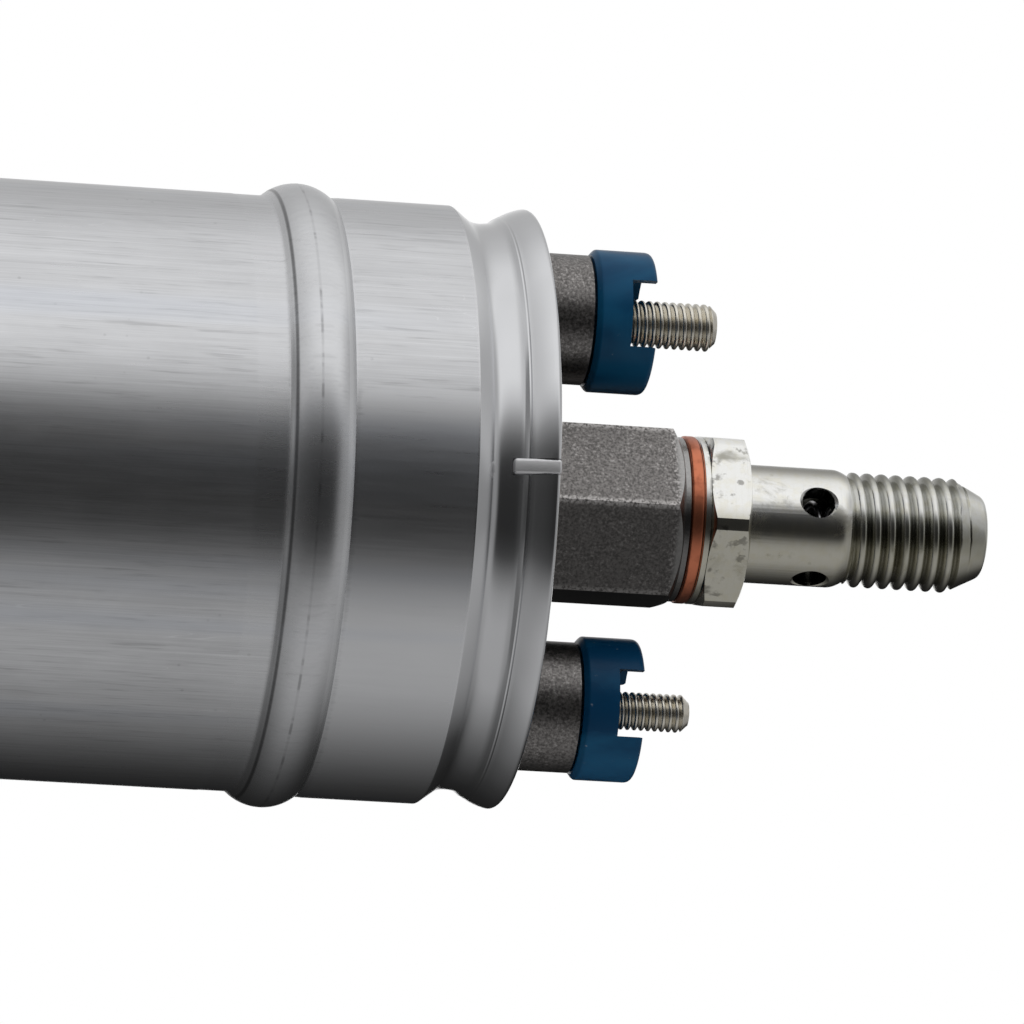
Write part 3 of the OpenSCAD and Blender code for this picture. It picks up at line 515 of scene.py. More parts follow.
@dataclass(frozen=True)
class Wound(Finish):
    """Enamelled copper wire laid in turns round the core."""

    colour: Colour = (0.46, 0.17, 0.06)
    wire_mm: float = 0.45

    def build(self, graph: Graph) -> None:
        """Adds the rows of wire and their shadows.

        Args:
            graph: The material's graph.
        """
        x, y, z = graph.axes()
        wobble = graph.noise(220, 2.0, 0.5) * 0.5
        row = graph.value("ShaderNodeMath", {"operation": "PINGPONG"}, {
            0: x + y * 0.55 + z * 0.35 + wobble, 1: self.wire_mm / 2}) * (2 / self.wire_mm)
        shade = row.step(0.0, 0.55)
        base = graph.mix(shade, (0.07, 0.025, 0.01), self.colour)
        graph.surface(Base_Color=base, Metallic=0.35, Roughness=0.30 + (1 - shade) * 0.3, Coat_Weight=0.6,
                      Coat_Roughness=0.15, Normal=graph.bump(row, 0.15, 0.8))


class Finishes:
    """Every finish of the pump, under the piece it is for."""

    tube = BrushedTube("brushed_tube")
    cast = CastMetal("cast_cover")
    cast_inlet = CastMetal("cast_inlet_cover", colour=(0.34, 0.32, 0.30), turned_from=200.0, turned_to=201.0)
    blue = Moulding("blue_insulator")
    black = Moulding("black_moulding", colour=(0.012, 0.012, 0.013), pale=(0.03, 0.03, 0.03), roughness=0.45)
    rubber = Moulding("seal_rubber", colour=(0.010, 0.010, 0.010), pale=(0.02, 0.02, 0.02), roughness=0.62,
                      specular=0.35)
    stud = TurnedPlate("plated_stud", colour=(0.74, 0.71, 0.64), tint=(0.62, 0.55, 0.40), stained=0.25,
                       tinted=0.35, roughness=0.27)
    valve = TurnedPlate("plated_valve", colour=(0.80, 0.80, 0.78), roughness=0.20, stained=0.85, tinted=0.2,
                        shaded=0.6, oily_from=108.4)
    washer = SoftMetal("copper_washer", colour=(0.60, 0.20, 0.11), dark=(0.24, 0.07, 0.04), roughness=0.34,
                       patches=0.6, scale=700.0, dents_mm=0.05)
    braid = SoftMetal("copper_braid", colour=(0.72, 0.38, 0.24), roughness=0.42, scale=1600.0)
    bronze = SoftMetal("bush_bronze", colour=(0.60, 0.42, 0.22), dark=(0.30, 0.20, 0.11), roughness=0.4)
    brass = SoftMetal("contact_brass", colour=(0.74, 0.58, 0.30), dark=(0.40, 0.30, 0.15), roughness=0.28)
    commutator = SoftMetal("commutator_copper", colour=(0.76, 0.42, 0.27), dark=(0.20, 0.13, 0.10),
                           roughness=0.25, patches=0.6)
    spring = TurnedPlate("spring_wire", colour=(0.50, 0.50, 0.52), tint=(0.45, 0.43, 0.40), stained=0.2,
                         tinted=0.2, roughness=0.3, marks_per_mm=3.0)
    steel = TurnedPlate("machined_steel", colour=(0.56, 0.56, 0.57), tint=(0.50, 0.48, 0.45), stained=0.25,
                        tinted=0.2, roughness=0.28)
    flux = TurnedPlate("flux_steel", colour=(0.40, 0.40, 0.42), tint=(0.36, 0.33, 0.30), stained=0.4,
                       tinted=0.3, roughness=0.42, marks_per_mm=2.0)
    laminate = TurnedPlate("core_laminations", colour=(0.42, 0.42, 0.44), tint=(0.30, 0.26, 0.22),
                           stained=0.3, tinted=0.3, roughness=0.4, marks_per_mm=2.0)
    ferrite = Sintered("magnet_ferrite")
    carbon = Sintered("brush_carbon", colour=(0.035, 0.033, 0.032), light=(0.10, 0.09, 0.085), metallic=0.4,
                      roughness=0.5)
    winding = Wound("winding_enamel")


class Slot(str, Enum):
    """The record's material slots."""

    BODY = "body_aluminium"
    COVER = "cover_casting"
    BLUE = "blue_plastic"
    STUD = "stud_plating"
    VALVE = "valve_plating"
    COPPER = "copper"
    SPRING = "spring_steel"


# Mesh tools


def to_metres(mesh: Mesh) -> None:
    """Scales a millimetre mesh to metres about the origin."""
    bmesh.ops.scale(mesh, vec=(MM, MM, MM), verts=mesh.verts)


def curve(first: Point, pull: Point, last: Point, count: int = 6) -> list[Point]:
    """Points of a curve in count steps from first to last that leans towards pull."""
    return [tuple((1 - t) ** 2 * a + 2 * t * (1 - t) * b + t * t * c for a, b, c in zip(first, pull, last))
            for t in (i / count for i in range(count + 1))]


def arc(centre: Point, radius: float, start: float, count: int) -> list[Point]:
    """Points on a circle in the (radius, X) plane, from the angle start in degrees to its opposite."""
    return [(centre[0] + radius * math.cos(a), centre[1] + radius * math.sin(a))
            for a in (math.radians(start - 2 * start * i / count) for i in range(count + 1))]


def spun(profile: Iterable[Point], steps: int = 128, closed: bool = False) -> Mesh:
    """Spins a (radius, X) profile round the X axis.

    Args:
        profile: The profile's points in millimetres.
        steps: Steps in the full turn.
        closed: Whether the profile is a loop, as a ring's section is.

    Returns:
        The closed solid in millimetres.
    """
    mesh = bmesh.new()
    verts = [mesh.verts.new((x, -r, 0.0)) for r, x in profile]
    pairs = list(zip(verts, verts[1:])) + ([(verts[-1], verts[0])] if closed else [])
    edges = [mesh.edges.new(pair) for pair in pairs]
    bmesh.ops.spin(mesh, geom=verts + edges, cent=(0, 0, 0), axis=(1, 0, 0), angle=math.tau,
                   steps=steps, use_merge=True, use_duplicate=False)
    bmesh.ops.remove_doubles(mesh, verts=mesh.verts, dist=1e-4)
    bmesh.ops.recalc_face_normals(mesh, faces=mesh.faces)
    return mesh


def rod(radius: float, x0: float, x1: float, steps: int = 48) -> Mesh:
    """A plain cylinder along X from x0 to x1."""
    return spun([(0.0, x0), (radius, x0), (radius, x1), (0.0, x1)], steps)


def hexagon(across: float, x0: float, x1: float, turn: float = 0.0) -> Mesh:
    """A hexagonal bar along X with its first corner on -Y.

    Args:
        across: Radius to the corners.
        x0: Start.
        x1: End.
        turn: Turn about X in degrees.

    Returns:
        The solid in millimetres.
    """
    mesh = bmesh.new()
    made = bmesh.ops.create_circle(mesh, cap_ends=True, radius=across, segments=6)
    spin = Matrix.Rotation(math.radians(turn), 4, "X") @ Matrix.Rotation(math.pi / 2, 4, "Y")
    start = spin @ made["verts"][0].co
    correct = Matrix.Rotation(math.atan2(-start.z, start.y) + math.pi + math.radians(turn), 4, "X")
    bmesh.ops.transform(mesh, matrix=Matrix.Translation((x0, 0, 0)) @ correct @ spin, verts=mesh.verts)
    top = bmesh.ops.extrude_face_region(mesh, geom=mesh.faces[:])
    ends = [v for v in top["geom"] if isinstance(v, bmesh.types.BMVert)]
    bmesh.ops.translate(mesh, vec=(x1 - x0, 0, 0), verts=ends)
    bmesh.ops.recalc_face_normals(mesh, faces=mesh.faces)
    return mesh


def block(low: Triple, high: Triple, edge: float = 0.0) -> Mesh:
    """A box with optional rounded edges.

    Args:
        low: Lowest corner.
        high: Highest corner.
        edge: Size of the edge rounding.

    Returns:
        The solid in millimetres.
    """
    mesh = bmesh.new()
    bmesh.ops.create_cube(mesh, size=1.0)
    size = [b - a for a, b in zip(low, high)]
    bmesh.ops.scale(mesh, vec=size, verts=mesh.verts)
    bmesh.ops.translate(mesh, vec=[(a + b) / 2 for a, b in zip(low, high)], verts=mesh.verts)
    if edge:
        bmesh.ops.bevel(mesh, geom=mesh.edges[:], offset=edge, affect="EDGES", segments=3, profile=0.5,
                        material=-1)
    return mesh


def threaded(section: list[Point], pitch: float, x0: float, x1: float, steps: int = 48,
             limit: Callable[[float], float] | None = None) -> Mesh:
    """A helical thread between two planes, closed at both.

    Args:
        section: (radius, X) over one pitch, first and last radius the same.
        pitch: The pitch.
        x0: First plane.
        x1: Last plane.
        steps: Steps in a turn.
        limit: Largest radius at an X, for run-outs and the lead-in.

    Returns:
        The solid in millimetres.
    """
    turns = int(math.ceil((x1 - x0) / pitch)) + 3
    mesh = bmesh.new()
    start = x0 - 1.5 * pitch
    verts = [mesh.verts.new((start + x, -r, 0.0)) for r, x in section]
    edges = [mesh.edges.new(pair) for pair in zip(verts, verts[1:])]
    bmesh.ops.spin(mesh, geom=verts + edges, cent=(0, 0, 0), axis=(1, 0, 0), angle=math.tau * turns,
                   steps=steps * turns, dvec=(pitch / steps, 0, 0), use_merge=False, use_duplicate=False)
    bmesh.ops.remove_doubles(mesh, verts=mesh.verts, dist=1e-3)
    for place, normal in ((x0, -1), (x1, 1)):
        bmesh.ops.bisect_plane(mesh, geom=mesh.verts[:] + mesh.edges[:] + mesh.faces[:], dist=1e-5,
                               plane_co=(place, 0, 0), plane_no=(normal, 0, 0), clear_outer=True)
    bmesh.ops.holes_fill(mesh, edges=[e for e in mesh.edges if e.is_boundary], sides=0)
    if limit:
        for vert in mesh.verts:
            radius = math.hypot(vert.co.y, vert.co.z)
            most = limit(vert.co.x)
            if radius > most:
                vert.co.y *= most / radius
                vert.co.z *= most / radius
    bmesh.ops.recalc_face_normals(mesh, faces=mesh.faces)
    return mesh


def metric_section(crest: float, depth: float, pitch: float) -> list[Point]:
    """The (radius, X) points of one pitch of a rounded metric thread, from root to root."""
    half = [(crest - depth * d, pitch * t) for t, d in THREAD_SHAPE]
    return half + [(r, pitch - x) for r, x in reversed(half[:-1])]


def moved(mesh: Mesh, offset: Triple) -> Mesh:
    """Shifts a millimetre mesh and returns it."""
    bmesh.ops.translate(mesh, vec=offset, verts=mesh.verts)
    return mesh


class Workshop:
    """Combines meshes and turns them into dressed pieces of the frame."""

    def combine(self, base: Mesh, join: Iterable[Mesh] = (), cut: Iterable[Mesh] = (),
                keep: Iterable[Mesh] = (), soften: Point | None = None) -> Mesh:
        """Runs booleans on a solid and can then round its edges. Every solid is used up.

        Args:
            base: The first solid.
            join: Solids that are added first.
            cut: Solids that are cut away next.
            keep: Solids outside which nothing stays.
            soften: Size of the rounding in millimetres, and the least angle of an edge in degrees.

        Returns:
            The combined solid.
        """
        held = self.placed("work_base", base)
        tools = []
        for operation, solids in (("UNION", join), ("DIFFERENCE", cut), ("INTERSECT", keep)):
            for solid in solids:
                tools.append(self.placed("work_tool", solid))
                step = held.modifiers.new(operation, "BOOLEAN")
                step.operation, step.object, step.solver = operation, tools[-1], "EXACT"
        if soften:
            bevel = held.modifiers.new("soft_edges", "BEVEL")
            bevel.width, bevel.segments, bevel.limit_method = soften[0], 3, "ANGLE"
            bevel.angle_limit = math.radians(soften[1])
            bevel.use_clamp_overlap = True
        graph = bpy.context.evaluated_depsgraph_get()
        out = bmesh.new()
        out.from_mesh(held.evaluated_get(graph).to_mesh())
        for item in [held, *tools]:
            data = item.data
            bpy.data.objects.remove(item)
            bpy.data.meshes.remove(data)
        bmesh.ops.remove_doubles(out, verts=out.verts, dist=2e-4)
        return out

    @staticmethod
    def placed(name: str, mesh: Mesh) -> bpy.types.Object:
        """Makes a linked object from a mesh.

        Args:
            name: The object's name.
            mesh: Its mesh, which is used up.

        Returns:
            The object.
        """
        data = bpy.data.meshes.new(name)
        mesh.to_mesh(data)
        mesh.free()
        made = bpy.data.objects.new(name, data)
        bpy.context.scene.collection.objects.link(made)
        return made

    def piece(self, name: str, mesh: Mesh, finish: Finish, replaces: str, sharp: float,
              body: str = "pump_body") -> bpy.types.Object:
        """Makes a finished piece in metres.

        Args:
            name: The piece's name.
            mesh: Its mesh in millimetres, which is used up.
            finish: Its finish.
            replaces: The CAD node it stands for.
            sharp: Angle in degrees past which an edge stays sharp.
            body: The body it rides on.

        Returns:
            The piece's object.
        """
        to_metres(mesh)
        made = self.placed(name, mesh)
        for face in made.data.polygons:
            face.use_smooth = True
        made.data.set_sharp_from_angle(angle=math.radians(sharp))
        made.data.materials.append(finish.material())
        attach(made, body)
        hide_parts(replaces)
        LOG.info("%s: %d faces on %s", name, len(made.data.polygons), body)
        return made


SHOP = Workshop()


# Sub-assemblies


@dataclass
class Housing:
    """The rolled aluminium tube with its two beads, necks and rims."""

    body_r: float = 30.0
    land_r: float = 30.2
    wall: float = 2.0
    bead_x: float = 50.0
    bead_r: float = 4.7
    bead_centre: float = 26.7
    half: float = 73.7
    neck_start: float = 65.6
    neck_depth: float = 1.6
    crease_x: float = 70.7
    lip_r: float = 27.0
    lip_thick: float = 1.8
    key_width: float = 1.5
    key_start: float = 69.1

    def outer_half(self) -> list[Point]:
        """Outside of the +X half from the middle to the rolled end.

        Returns:
            The (radius, X) points.
        """
        land, deep, x0, end = self.land_r, self.neck_depth, self.neck_start, self.half
        reach = math.sqrt(self.bead_r ** 2 - (self.body_r - self.bead_centre) ** 2)
        angle = math.degrees(math.atan2(reach - 0.16, self.body_r + 0.1 - self.bead_centre))
        bead = arc((self.bead_centre, self.bead_x), self.bead_r, -angle, 24)
        body, foot, heel = self.body_r, self.bead_x - reach, self.bead_x + reach
        points = [(body, 0.0), (body, self.bead_x - 6.6), (body - 0.03, self.bead_x - 6.3),
                  (body - 0.03, foot - 0.6)]
        points += curve((body - 0.02, foot - 0.32), (body, foot - 0.02), bead[0], 3)
        points += bead[1:-1]
        points += curve(bead[-1], (land - 0.05, heel - 0.03), (land - 0.03, heel + 0.3), 3)
        points += [(land - 0.03, heel + 0.5), (land, heel + 0.8), (land, x0 - 0.12), (land - 0.06, x0)]
        points += curve((land - 0.7 * deep, x0 + 1.4), (land - 1.12 * deep, x0 + 2.2),
                        (land - 0.98 * deep, x0 + 3.8), 8)
        points += curve((land - 0.95 * deep, x0 + 4.1), (land - 0.9 * deep, x0 + 4.4),
                        (land - 0.78 * deep, x0 + 4.65), 4)
        points += [(land - 0.99, self.crease_x - 0.15), (land - 0.98, self.crease_x),
                   (land - 0.85, self.crease_x + 0.12)]
        points += curve((land - 0.82, self.crease_x + 0.2), (land - 0.13, self.crease_x + 1.3),
                        (land + 0.09, end - 0.65), 8)
        points += curve((land + 0.1, end - 0.55), (land + 0.08, end - 0.1), (land - 0.5, end - 0.03), 5)
        return points + [(land - 0.9, end), (self.lip_r + 0.3, end), (self.lip_r + 0.08, end - 0.08),
                         (self.lip_r, end - 0.3)]

    def inner_half(self) -> list[Point]:
        """Inside of the +X half from the rolled end back to the middle.

        Returns:
            The (radius, X) points.
        """
        inner = self.body_r - self.wall
        back = self.half - self.lip_thick
        low = self.land_r - self.neck_depth - self.wall
        x1 = self.half - 5.6
        points = [(self.lip_r, back), (inner, back - 0.6)]
        points += curve((inner, back - 1.6), (inner - 0.1, x1 + 1.2), (low, x1), 8)
        points += curve((low, x1), (inner - 0.1, x1 - 1.2), (inner, self.neck_start + 0.4), 8)[1:]
        reach = math.sqrt((self.bead_r - self.wall) ** 2 - (inner - self.bead_centre) ** 2)
        angle = math.degrees(math.atan2(reach, inner - self.bead_centre))
        points += arc((self.bead_centre, self.bead_x), self.bead_r - self.wall, angle, 12)
        return points + [(inner, 0.0)]

    def build(self) -> None:
        """Makes the tube and cuts the keyway."""
        outer, inner = self.outer_half(), self.inner_half()
        loop = [(r, -x) for r, x in reversed(outer[1:])] + outer + inner
        tube = spun(loop + [(r, -x) for r, x in reversed(inner[:-1])], 240, closed=True)
        gap = self.key_width / 2 + 0.04
        notch = block((self.key_start - 0.03, -self.land_r - 3, -gap), (self.half + 1, -10, gap))
        SHOP.piece("rolled_housing", SHOP.combine(tube, cut=[notch]), Finishes.tube,
                   "housing_tube", 24)


@dataclass(frozen=True)
class Terminal:
    """One terminal: its side (1 is up), its insulator's bore and its stud's thread and tip."""

    name: str
    side: int
    bore: float
    crest: float
    depth: float
    pitch: float
    tip: float


@dataclass
class OutletEnd:
    """The cast outlet cover with its bosses, the insulators and the studs."""

    face: float = 72.7
    back: float = 58.0
    cover_r: float = 27.97
    lip_r: float = 26.95
    grooves: tuple[Triple, ...] = ((25.7, 60.7, 63.3), (26.57, 65.9, 70.45))
    lip_slope: Point = (71.24, 71.84)
    face_recess: Point = (13.8, 24.0)
    offset: float = 19.8
    boss_r: float = 6.6
    boss_end: float = 80.9
    hub_r: float = 8.2
    hub_back: float = 52.0
    bush_r: float = 3.6
    hex_af: float = 17.0
    hex_end: float = 89.5
    end: float = 91.0
    step_r: float = 8.35
    way: float = 6.2
    way_back: float = 60.0
    insulator_r: float = 7.25
    insulator_end: float = 87.15
    slot_floor: float = 84.45
    slot_width: float = 6.8
    recess: Point = (5.8, 2.05)
    sleeve_r: float = 4.2
    key_start: float = 69.1
    key_end: float = 73.68
    key_r: float = 30.32
    key_half: float = 0.75
    key_root: float = 25.0
    key_step: float = 0.8
    stud_back: float = 48.53
    post_end: float = 56.47
    post_r: float = 3.4
    terminals: tuple[Terminal, ...] = (
        Terminal("positive", 1, 2.44, 2.4, 0.42, 0.8, 94.2),
        Terminal("negative", -1, 1.97, 1.93, 0.37, 0.7, 92.7))

    def disc(self) -> Mesh:
        """Makes the cover's disc with its grooves and lip.

        Returns:
            The solid in millimetres.
        """
        face, lip, rim = self.face, self.lip_r, self.cover_r
        edge = [(0.0, self.back), (rim - 0.6, self.back), (rim, self.back + 0.6)]
        for depth_r, start, end in self.grooves:
            edge += [(rim, start), (depth_r, start), (depth_r, end), (rim, end)]
        edge += [(rim, self.lip_slope[0]), (lip, self.lip_slope[1]), (lip, face - 0.45)]
        edge += curve((lip - 0.02, face - 0.35), (lip, face), (lip - 0.45, face), 4)
        low, high = self.face_recess
        edge += [(high + 0.2, face), (high - 0.2, face - 0.35), (low + 0.2, face - 0.35), (low - 0.2, face)]
        return spun(edge + [(0.0, face)], 160)

    def cover(self) -> None:
        """Makes the cover: the disc with its bosses, hexagon, hub and key."""
        face, end, step = self.face, self.end, self.step_r
        corner = self.hex_af / 2 / math.cos(math.pi / 6)
        envelope = spun([(0, face - 2), (12, face - 2),
                         (12, self.hex_end - 1.4), (corner, self.hex_end - 0.1),
                         (step + 0.1, self.hex_end + 0.75), (step, self.hex_end + 0.85), (step, end - 0.15),
                         (step - 0.15, end), (0, end)], 96)
        bar = SHOP.combine(hexagon(corner, face - 1, end), keep=[envelope], soften=(0.22, 40))
        fillet = spun(curve((11.2, face - 0.36), (9.9, face - 0.3), (9.6, face + 1.1))
                      + [(8.0, face + 1.3), (8.0, face - 0.8)], 96, closed=True)
        r, top, back = self.boss_r, self.boss_end, self.hub_back
        boss = [(0.0, face - 1.0), (r + 1.5, face - 1.0), (r + 1.5, face - 0.34)]
        boss += curve((r + 1.45, face - 0.3), (r, face - 0.1), (r, face + 1.5))
        boss += [(r, top - 0.25), (r - 0.25, top), (0.0, top)]
        hub = spun([(0.0, back + 0.2), (self.hub_r - 0.3, back), (self.hub_r, back + 0.3),
                    (self.hub_r, self.back + 1), (0.0, self.back + 1)], 72)
        key = block((self.key_start, -self.key_r, -self.key_half),
                    (self.key_end, -self.key_root, self.key_half), 0.3)
        for vert in key.verts:
            if vert.co.y < -self.key_root - 2 and vert.co.x < self.key_start + 1:
                vert.co.y += self.key_step
        way = spun([(0.0, self.way_back), (self.way, self.way_back), (self.way, end - 0.5),
                    (self.way + 0.8, end + 0.3), (0.0, end + 0.3)], 72)
        places = [(0, 0, terminal.side * self.offset) for terminal in self.terminals]
        bosses = [moved(spun(boss, 72), place) for place in places]
        holes = [moved(rod(self.sleeve_r + 0.03, self.back - 1, top + 1.1), place) for place in places]
        cover = SHOP.combine(self.disc(), join=[bar, fillet, *bosses, hub, key],
                             cut=[way, rod(self.bush_r, back - 1, self.way_back + 1), *holes])
        SHOP.piece("cast_outlet_cover", cover, Finishes.cast, "outlet_cover", 30)

    def insulator(self, terminal: Terminal) -> None:
        """Makes one blue insulator with its slot.

        Args:
            terminal: The terminal it belongs to.
        """
        r, end, foot, bore = self.insulator_r, self.insulator_end, self.boss_end + 0.03, terminal.bore
        profile = [(0.0, self.back + 2), (self.sleeve_r, self.back + 2), (self.sleeve_r, foot),
                   (r - 0.55, foot), (r - 0.12, foot + 0.36)]
        profile += curve((r - 0.07, foot + 0.42), (r, foot + 0.5), (r, foot + 0.64), 3)
        profile += curve((r, end - 0.75), (r, end), (r - 0.75, end)) + [(0.0, end)]
        slot = block((self.slot_floor, -12, -self.slot_width / 2), (end + 2, 12, self.slot_width / 2))
        hole = spun([(0, self.back - 3), (bore, self.back - 3), (bore, self.slot_floor - 0.3),
                     (bore + 0.3, self.slot_floor + 0.02), (bore + 0.3, end + 1), (0, end + 1)], 48)
        recess = rod(self.recess[0], end - self.recess[1], end + 1, 64)
        body = SHOP.combine(spun(profile, 96), cut=[slot, hole, recess], soften=(0.12, 50))
        SHOP.piece(f"{terminal.name}_insulator_moulding", moved(body, (0, 0, terminal.side * self.offset)),
                   Finishes.blue, f"{terminal.name}_insulator", 35)

    def stud(self, terminal: Terminal) -> None:
        """Makes one threaded stud with its post.

        Args:
            terminal: The terminal it belongs to.
        """
        crest, depth, tip = terminal.crest, terminal.depth, terminal.tip
        neck, low, high, floor = crest - 0.2, self.stud_back, self.post_end, self.slot_floor
        r = self.post_r
        shank = [(0.0, low), (r - 0.3, low), (r, low + 0.3), (r, high - 0.27), (r - 0.3, high), (neck, high),
                 (neck, floor - 0.05), (neck - 0.3, floor + 0.2), (0.0, floor + 0.2)]
        thread = threaded(metric_section(crest, depth, terminal.pitch), terminal.pitch, floor - 0.1, tip, 40,
                          lambda x: max(crest - depth - 0.35, min(crest, crest - max(0.0, x - (tip - 0.75)))))
        body = SHOP.combine(spun(shank, 48), join=[thread])
        SHOP.piece(f"{terminal.name}_stud_thread", moved(body, (0, 0, terminal.side * self.offset)),
                   Finishes.stud, f"{terminal.name}_stud", 40)

    def build(self) -> None:
        """Makes every piece of the outlet end."""
        self.cover()
        for make in (self.insulator, self.stud):
            for terminal in self.terminals:
                make(terminal)


@dataclass
class OutletValve:
    """The copper washer and the check valve body."""

    washer: Point = (91.0, 92.25)
    washer_r: float = 8.5
    flange_end: float = 93.0
    hex_end: float = 97.1
    hex_af: float = 17.0
    hex_turn: float = 9.5
    corner_cut: float = 0.33
    shank_r: float = 6.0
    shank_end: float = 107.8
    first_crest: float = 108.8
    thread_start: float = 107.67
    crest: float = 5.84
    pitch: float = 1.5
    depth: float = 0.9
    tip: float = 122.5
    bore: float = 3.7
    cross_x: float = 104.5
    cross_r: float = 1.7
    cross_turn: float = -18.0
    stub_r: float = 6.17
    stub_back: float = 77.0
    bore_end: float = 112.0
    tip_r: float = 4.36
    taper_length: float = 3.2
    taper_r: float = 5.64
    taper_slope: float = 0.51

    def washer_ring(self) -> None:
        """Makes the copper sealing washer."""
        x0, x1, r = *self.washer, self.washer_r
        loop = [(6.2, x0), (r - 0.3, x0)] + curve((r - 0.28, x0), (r, x0), (r, x0 + 0.3), 4)
        loop += curve((r, x1 - 0.3), (r, x1), (r - 0.28, x1), 4) + [(6.2, x1)]
        SHOP.piece("washer_ring", spun(loop, 128, closed=True), Finishes.washer,
                   "outlet_washer", 35)

    def limit(self, x: float) -> float:
        """Largest radius of the thread at the run-in and along the tapered tip.

        Args:
            x: Place along the axis.

        Returns:
            The radius in millimetres.
        """
        taper = x - (self.tip - self.taper_length)
        lead = self.crest if taper < 0 else self.taper_r - taper * self.taper_slope
        foot = self.crest - self.depth * max(0.0, min(1.0, (self.first_crest - 0.15 - x) / 0.5))
        return min(lead, foot)

    def body(self) -> None:
        """Makes the valve body: flange, hexagon, shank, cross holes and outlet thread."""
        start, neck, flange, shank = self.washer[1] + 0.03, self.stub_r, self.flange_end, self.shank_r
        flat, tip, root, last = self.hex_af / 2, self.tip, self.crest - self.depth, self.first_crest + 1.0
        outline = [(0.0, self.stub_back), (neck - 0.8, self.stub_back), (neck, self.stub_back + 1),
                   (neck, start), (self.washer_r - 0.15, start), (self.washer_r, start + 0.12),
                   (self.washer_r, flange - 0.08), (self.washer_r - 0.12, flange), (shank, flange)]
        outline += curve((shank, self.shank_end - 1.2), (shank, self.shank_end - 0.5),
                         (shank - 0.55, self.shank_end + 0.35), 8)
        outline += [(root, self.shank_end + 0.7), (root, last), (0.0, last)]
        corner = flat / math.cos(math.pi / 6)
        turned = corner - self.corner_cut
        envelope = spun([(0, flange - 0.1), (flat + 0.05, flange - 0.02), (turned, flange + 0.38),
                         (turned, self.hex_end - 0.5), (flat - 0.05, self.hex_end), (0, self.hex_end)], 180)
        nut = SHOP.combine(hexagon(corner, flange - 0.05, self.hex_end, self.hex_turn), keep=[envelope],
                           soften=(0.12, 18))
        thread = threaded(metric_section(self.crest, self.depth, self.pitch), self.pitch,
                          self.thread_start, tip - 0.6, 64, self.limit)
        r = self.tip_r
        plug = spun([(0, tip - 3), (r, tip - 3), (r, tip - 0.7)]
                    + curve((r - 0.06, tip - 0.6), (r - 0.26, tip - 0.08), (r - 0.96, tip)) + [(0, tip)], 96)
        cuts = [spun([(0, self.stub_back - 1), (self.bore, self.stub_back - 1), (self.bore, self.bore_end),
                      (0, self.bore_end + 1.5)], 64)]
        mouth = [(self.cross_r, shank - 0.25), (self.cross_r + 0.35, shank + 0.05),
                 (self.cross_r + 0.5, shank + 2.0), (0, shank + 2.0)]
        for turn in (self.cross_turn, self.cross_turn + 90):
            hole = spun([(r, -x) for r, x in reversed(mouth)] + mouth, 48)
            aim = Matrix.Translation((self.cross_x, 0, 0)) @ Matrix.Rotation(
                math.radians(turn), 4, "X") @ Matrix.Rotation(math.pi / 2, 4, "Z")
            bmesh.ops.transform(hole, matrix=aim, verts=hole.verts)
            cuts.append(hole)
        valve = SHOP.combine(spun(outline, 96), join=[nut, thread, plug], cut=cuts)
        SHOP.piece("valve_body_turned", valve, Finishes.valve, "check_valve_body", 30)

    def build(self) -> None:
        """Makes the washer and the valve body."""
        self.washer_ring()
        self.body()


@dataclass(frozen=True)
class Spring:
    """A helical spring in millimetres, and the joint that presses its free end towards its seat."""

    node: str
    free: Triple
    seat: Triple
    radius: float
    wire: float
    turns: int
    joint: str
    lift: float
    rings: int = 24
    sides: int = 12

    def mesh(self, length: float) -> Mesh:
        """Spins the wire's section into a coil, closed at both ends.

        Args:
            length: Its free length.

        Returns:
            The coil along X from the origin.
        """
        steps = self.turns * self.rings
        advance = (length - 2 * self.wire) / steps
        coil = bmesh.new()
        bmesh.ops.create_circle(coil, cap_ends=True, radius=self.wire, segments=self.sides)
        bmesh.ops.translate(coil, vec=(self.wire, self.radius, 0), verts=coil.verts)
        bmesh.ops.spin(coil, geom=coil.verts[:] + coil.edges[:] + coil.faces[:], cent=(0, 0, 0),
                       axis=(1, 0, 0), angle=math.tau * self.turns, steps=steps, dvec=(advance, 0, 0),
                       use_merge=False, use_duplicate=False)
        bmesh.ops.recalc_face_normals(coil, faces=coil.faces)
        return coil

    def build(self) -> None:
        """Makes the spring between its ends."""
        along = Vector(self.seat) - Vector(self.free)
        mesh = self.mesh(along.length)
        aim = Matrix.Translation(self.free) @ along.to_track_quat("X", "Z").to_matrix().to_4x4()
        bmesh.ops.transform(mesh, matrix=aim, verts=mesh.verts)
        made = SHOP.piece(f"{self.node}_coil", mesh, Finishes.spring, self.node, 60)
        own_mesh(made)


@dataclass
class Springs:
    """The springs, each listed with its joint."""

    springs: tuple[Spring, ...] = (
        Spring("check_valve_spring", (88.864, 0, 0), (111.97, 0, 0), 2.4, 0.35, 9, "valve_ball_lift", 2.0),
        Spring("positive_brush_spring", (37.0, 20.52, 0), (37.0, 26.38, 0), 2.4, 0.35, 4,
               "brush_rear_slide", 2.0),
        Spring("negative_brush_spring", (37.0, -20.52, 0), (37.0, -26.38, 0), 2.4, 0.35, 4,
               "brush_front_slide", 2.0),
        Spring("relief_spring", (-61.289, 0, 14.0), (-66.97, 0, 14.0), 1.6, 0.3, 5, "relief_ball_lift", 1.2))

    def build(self) -> None:
        """Makes every spring."""
        for spring in self.springs:
            spring.build()


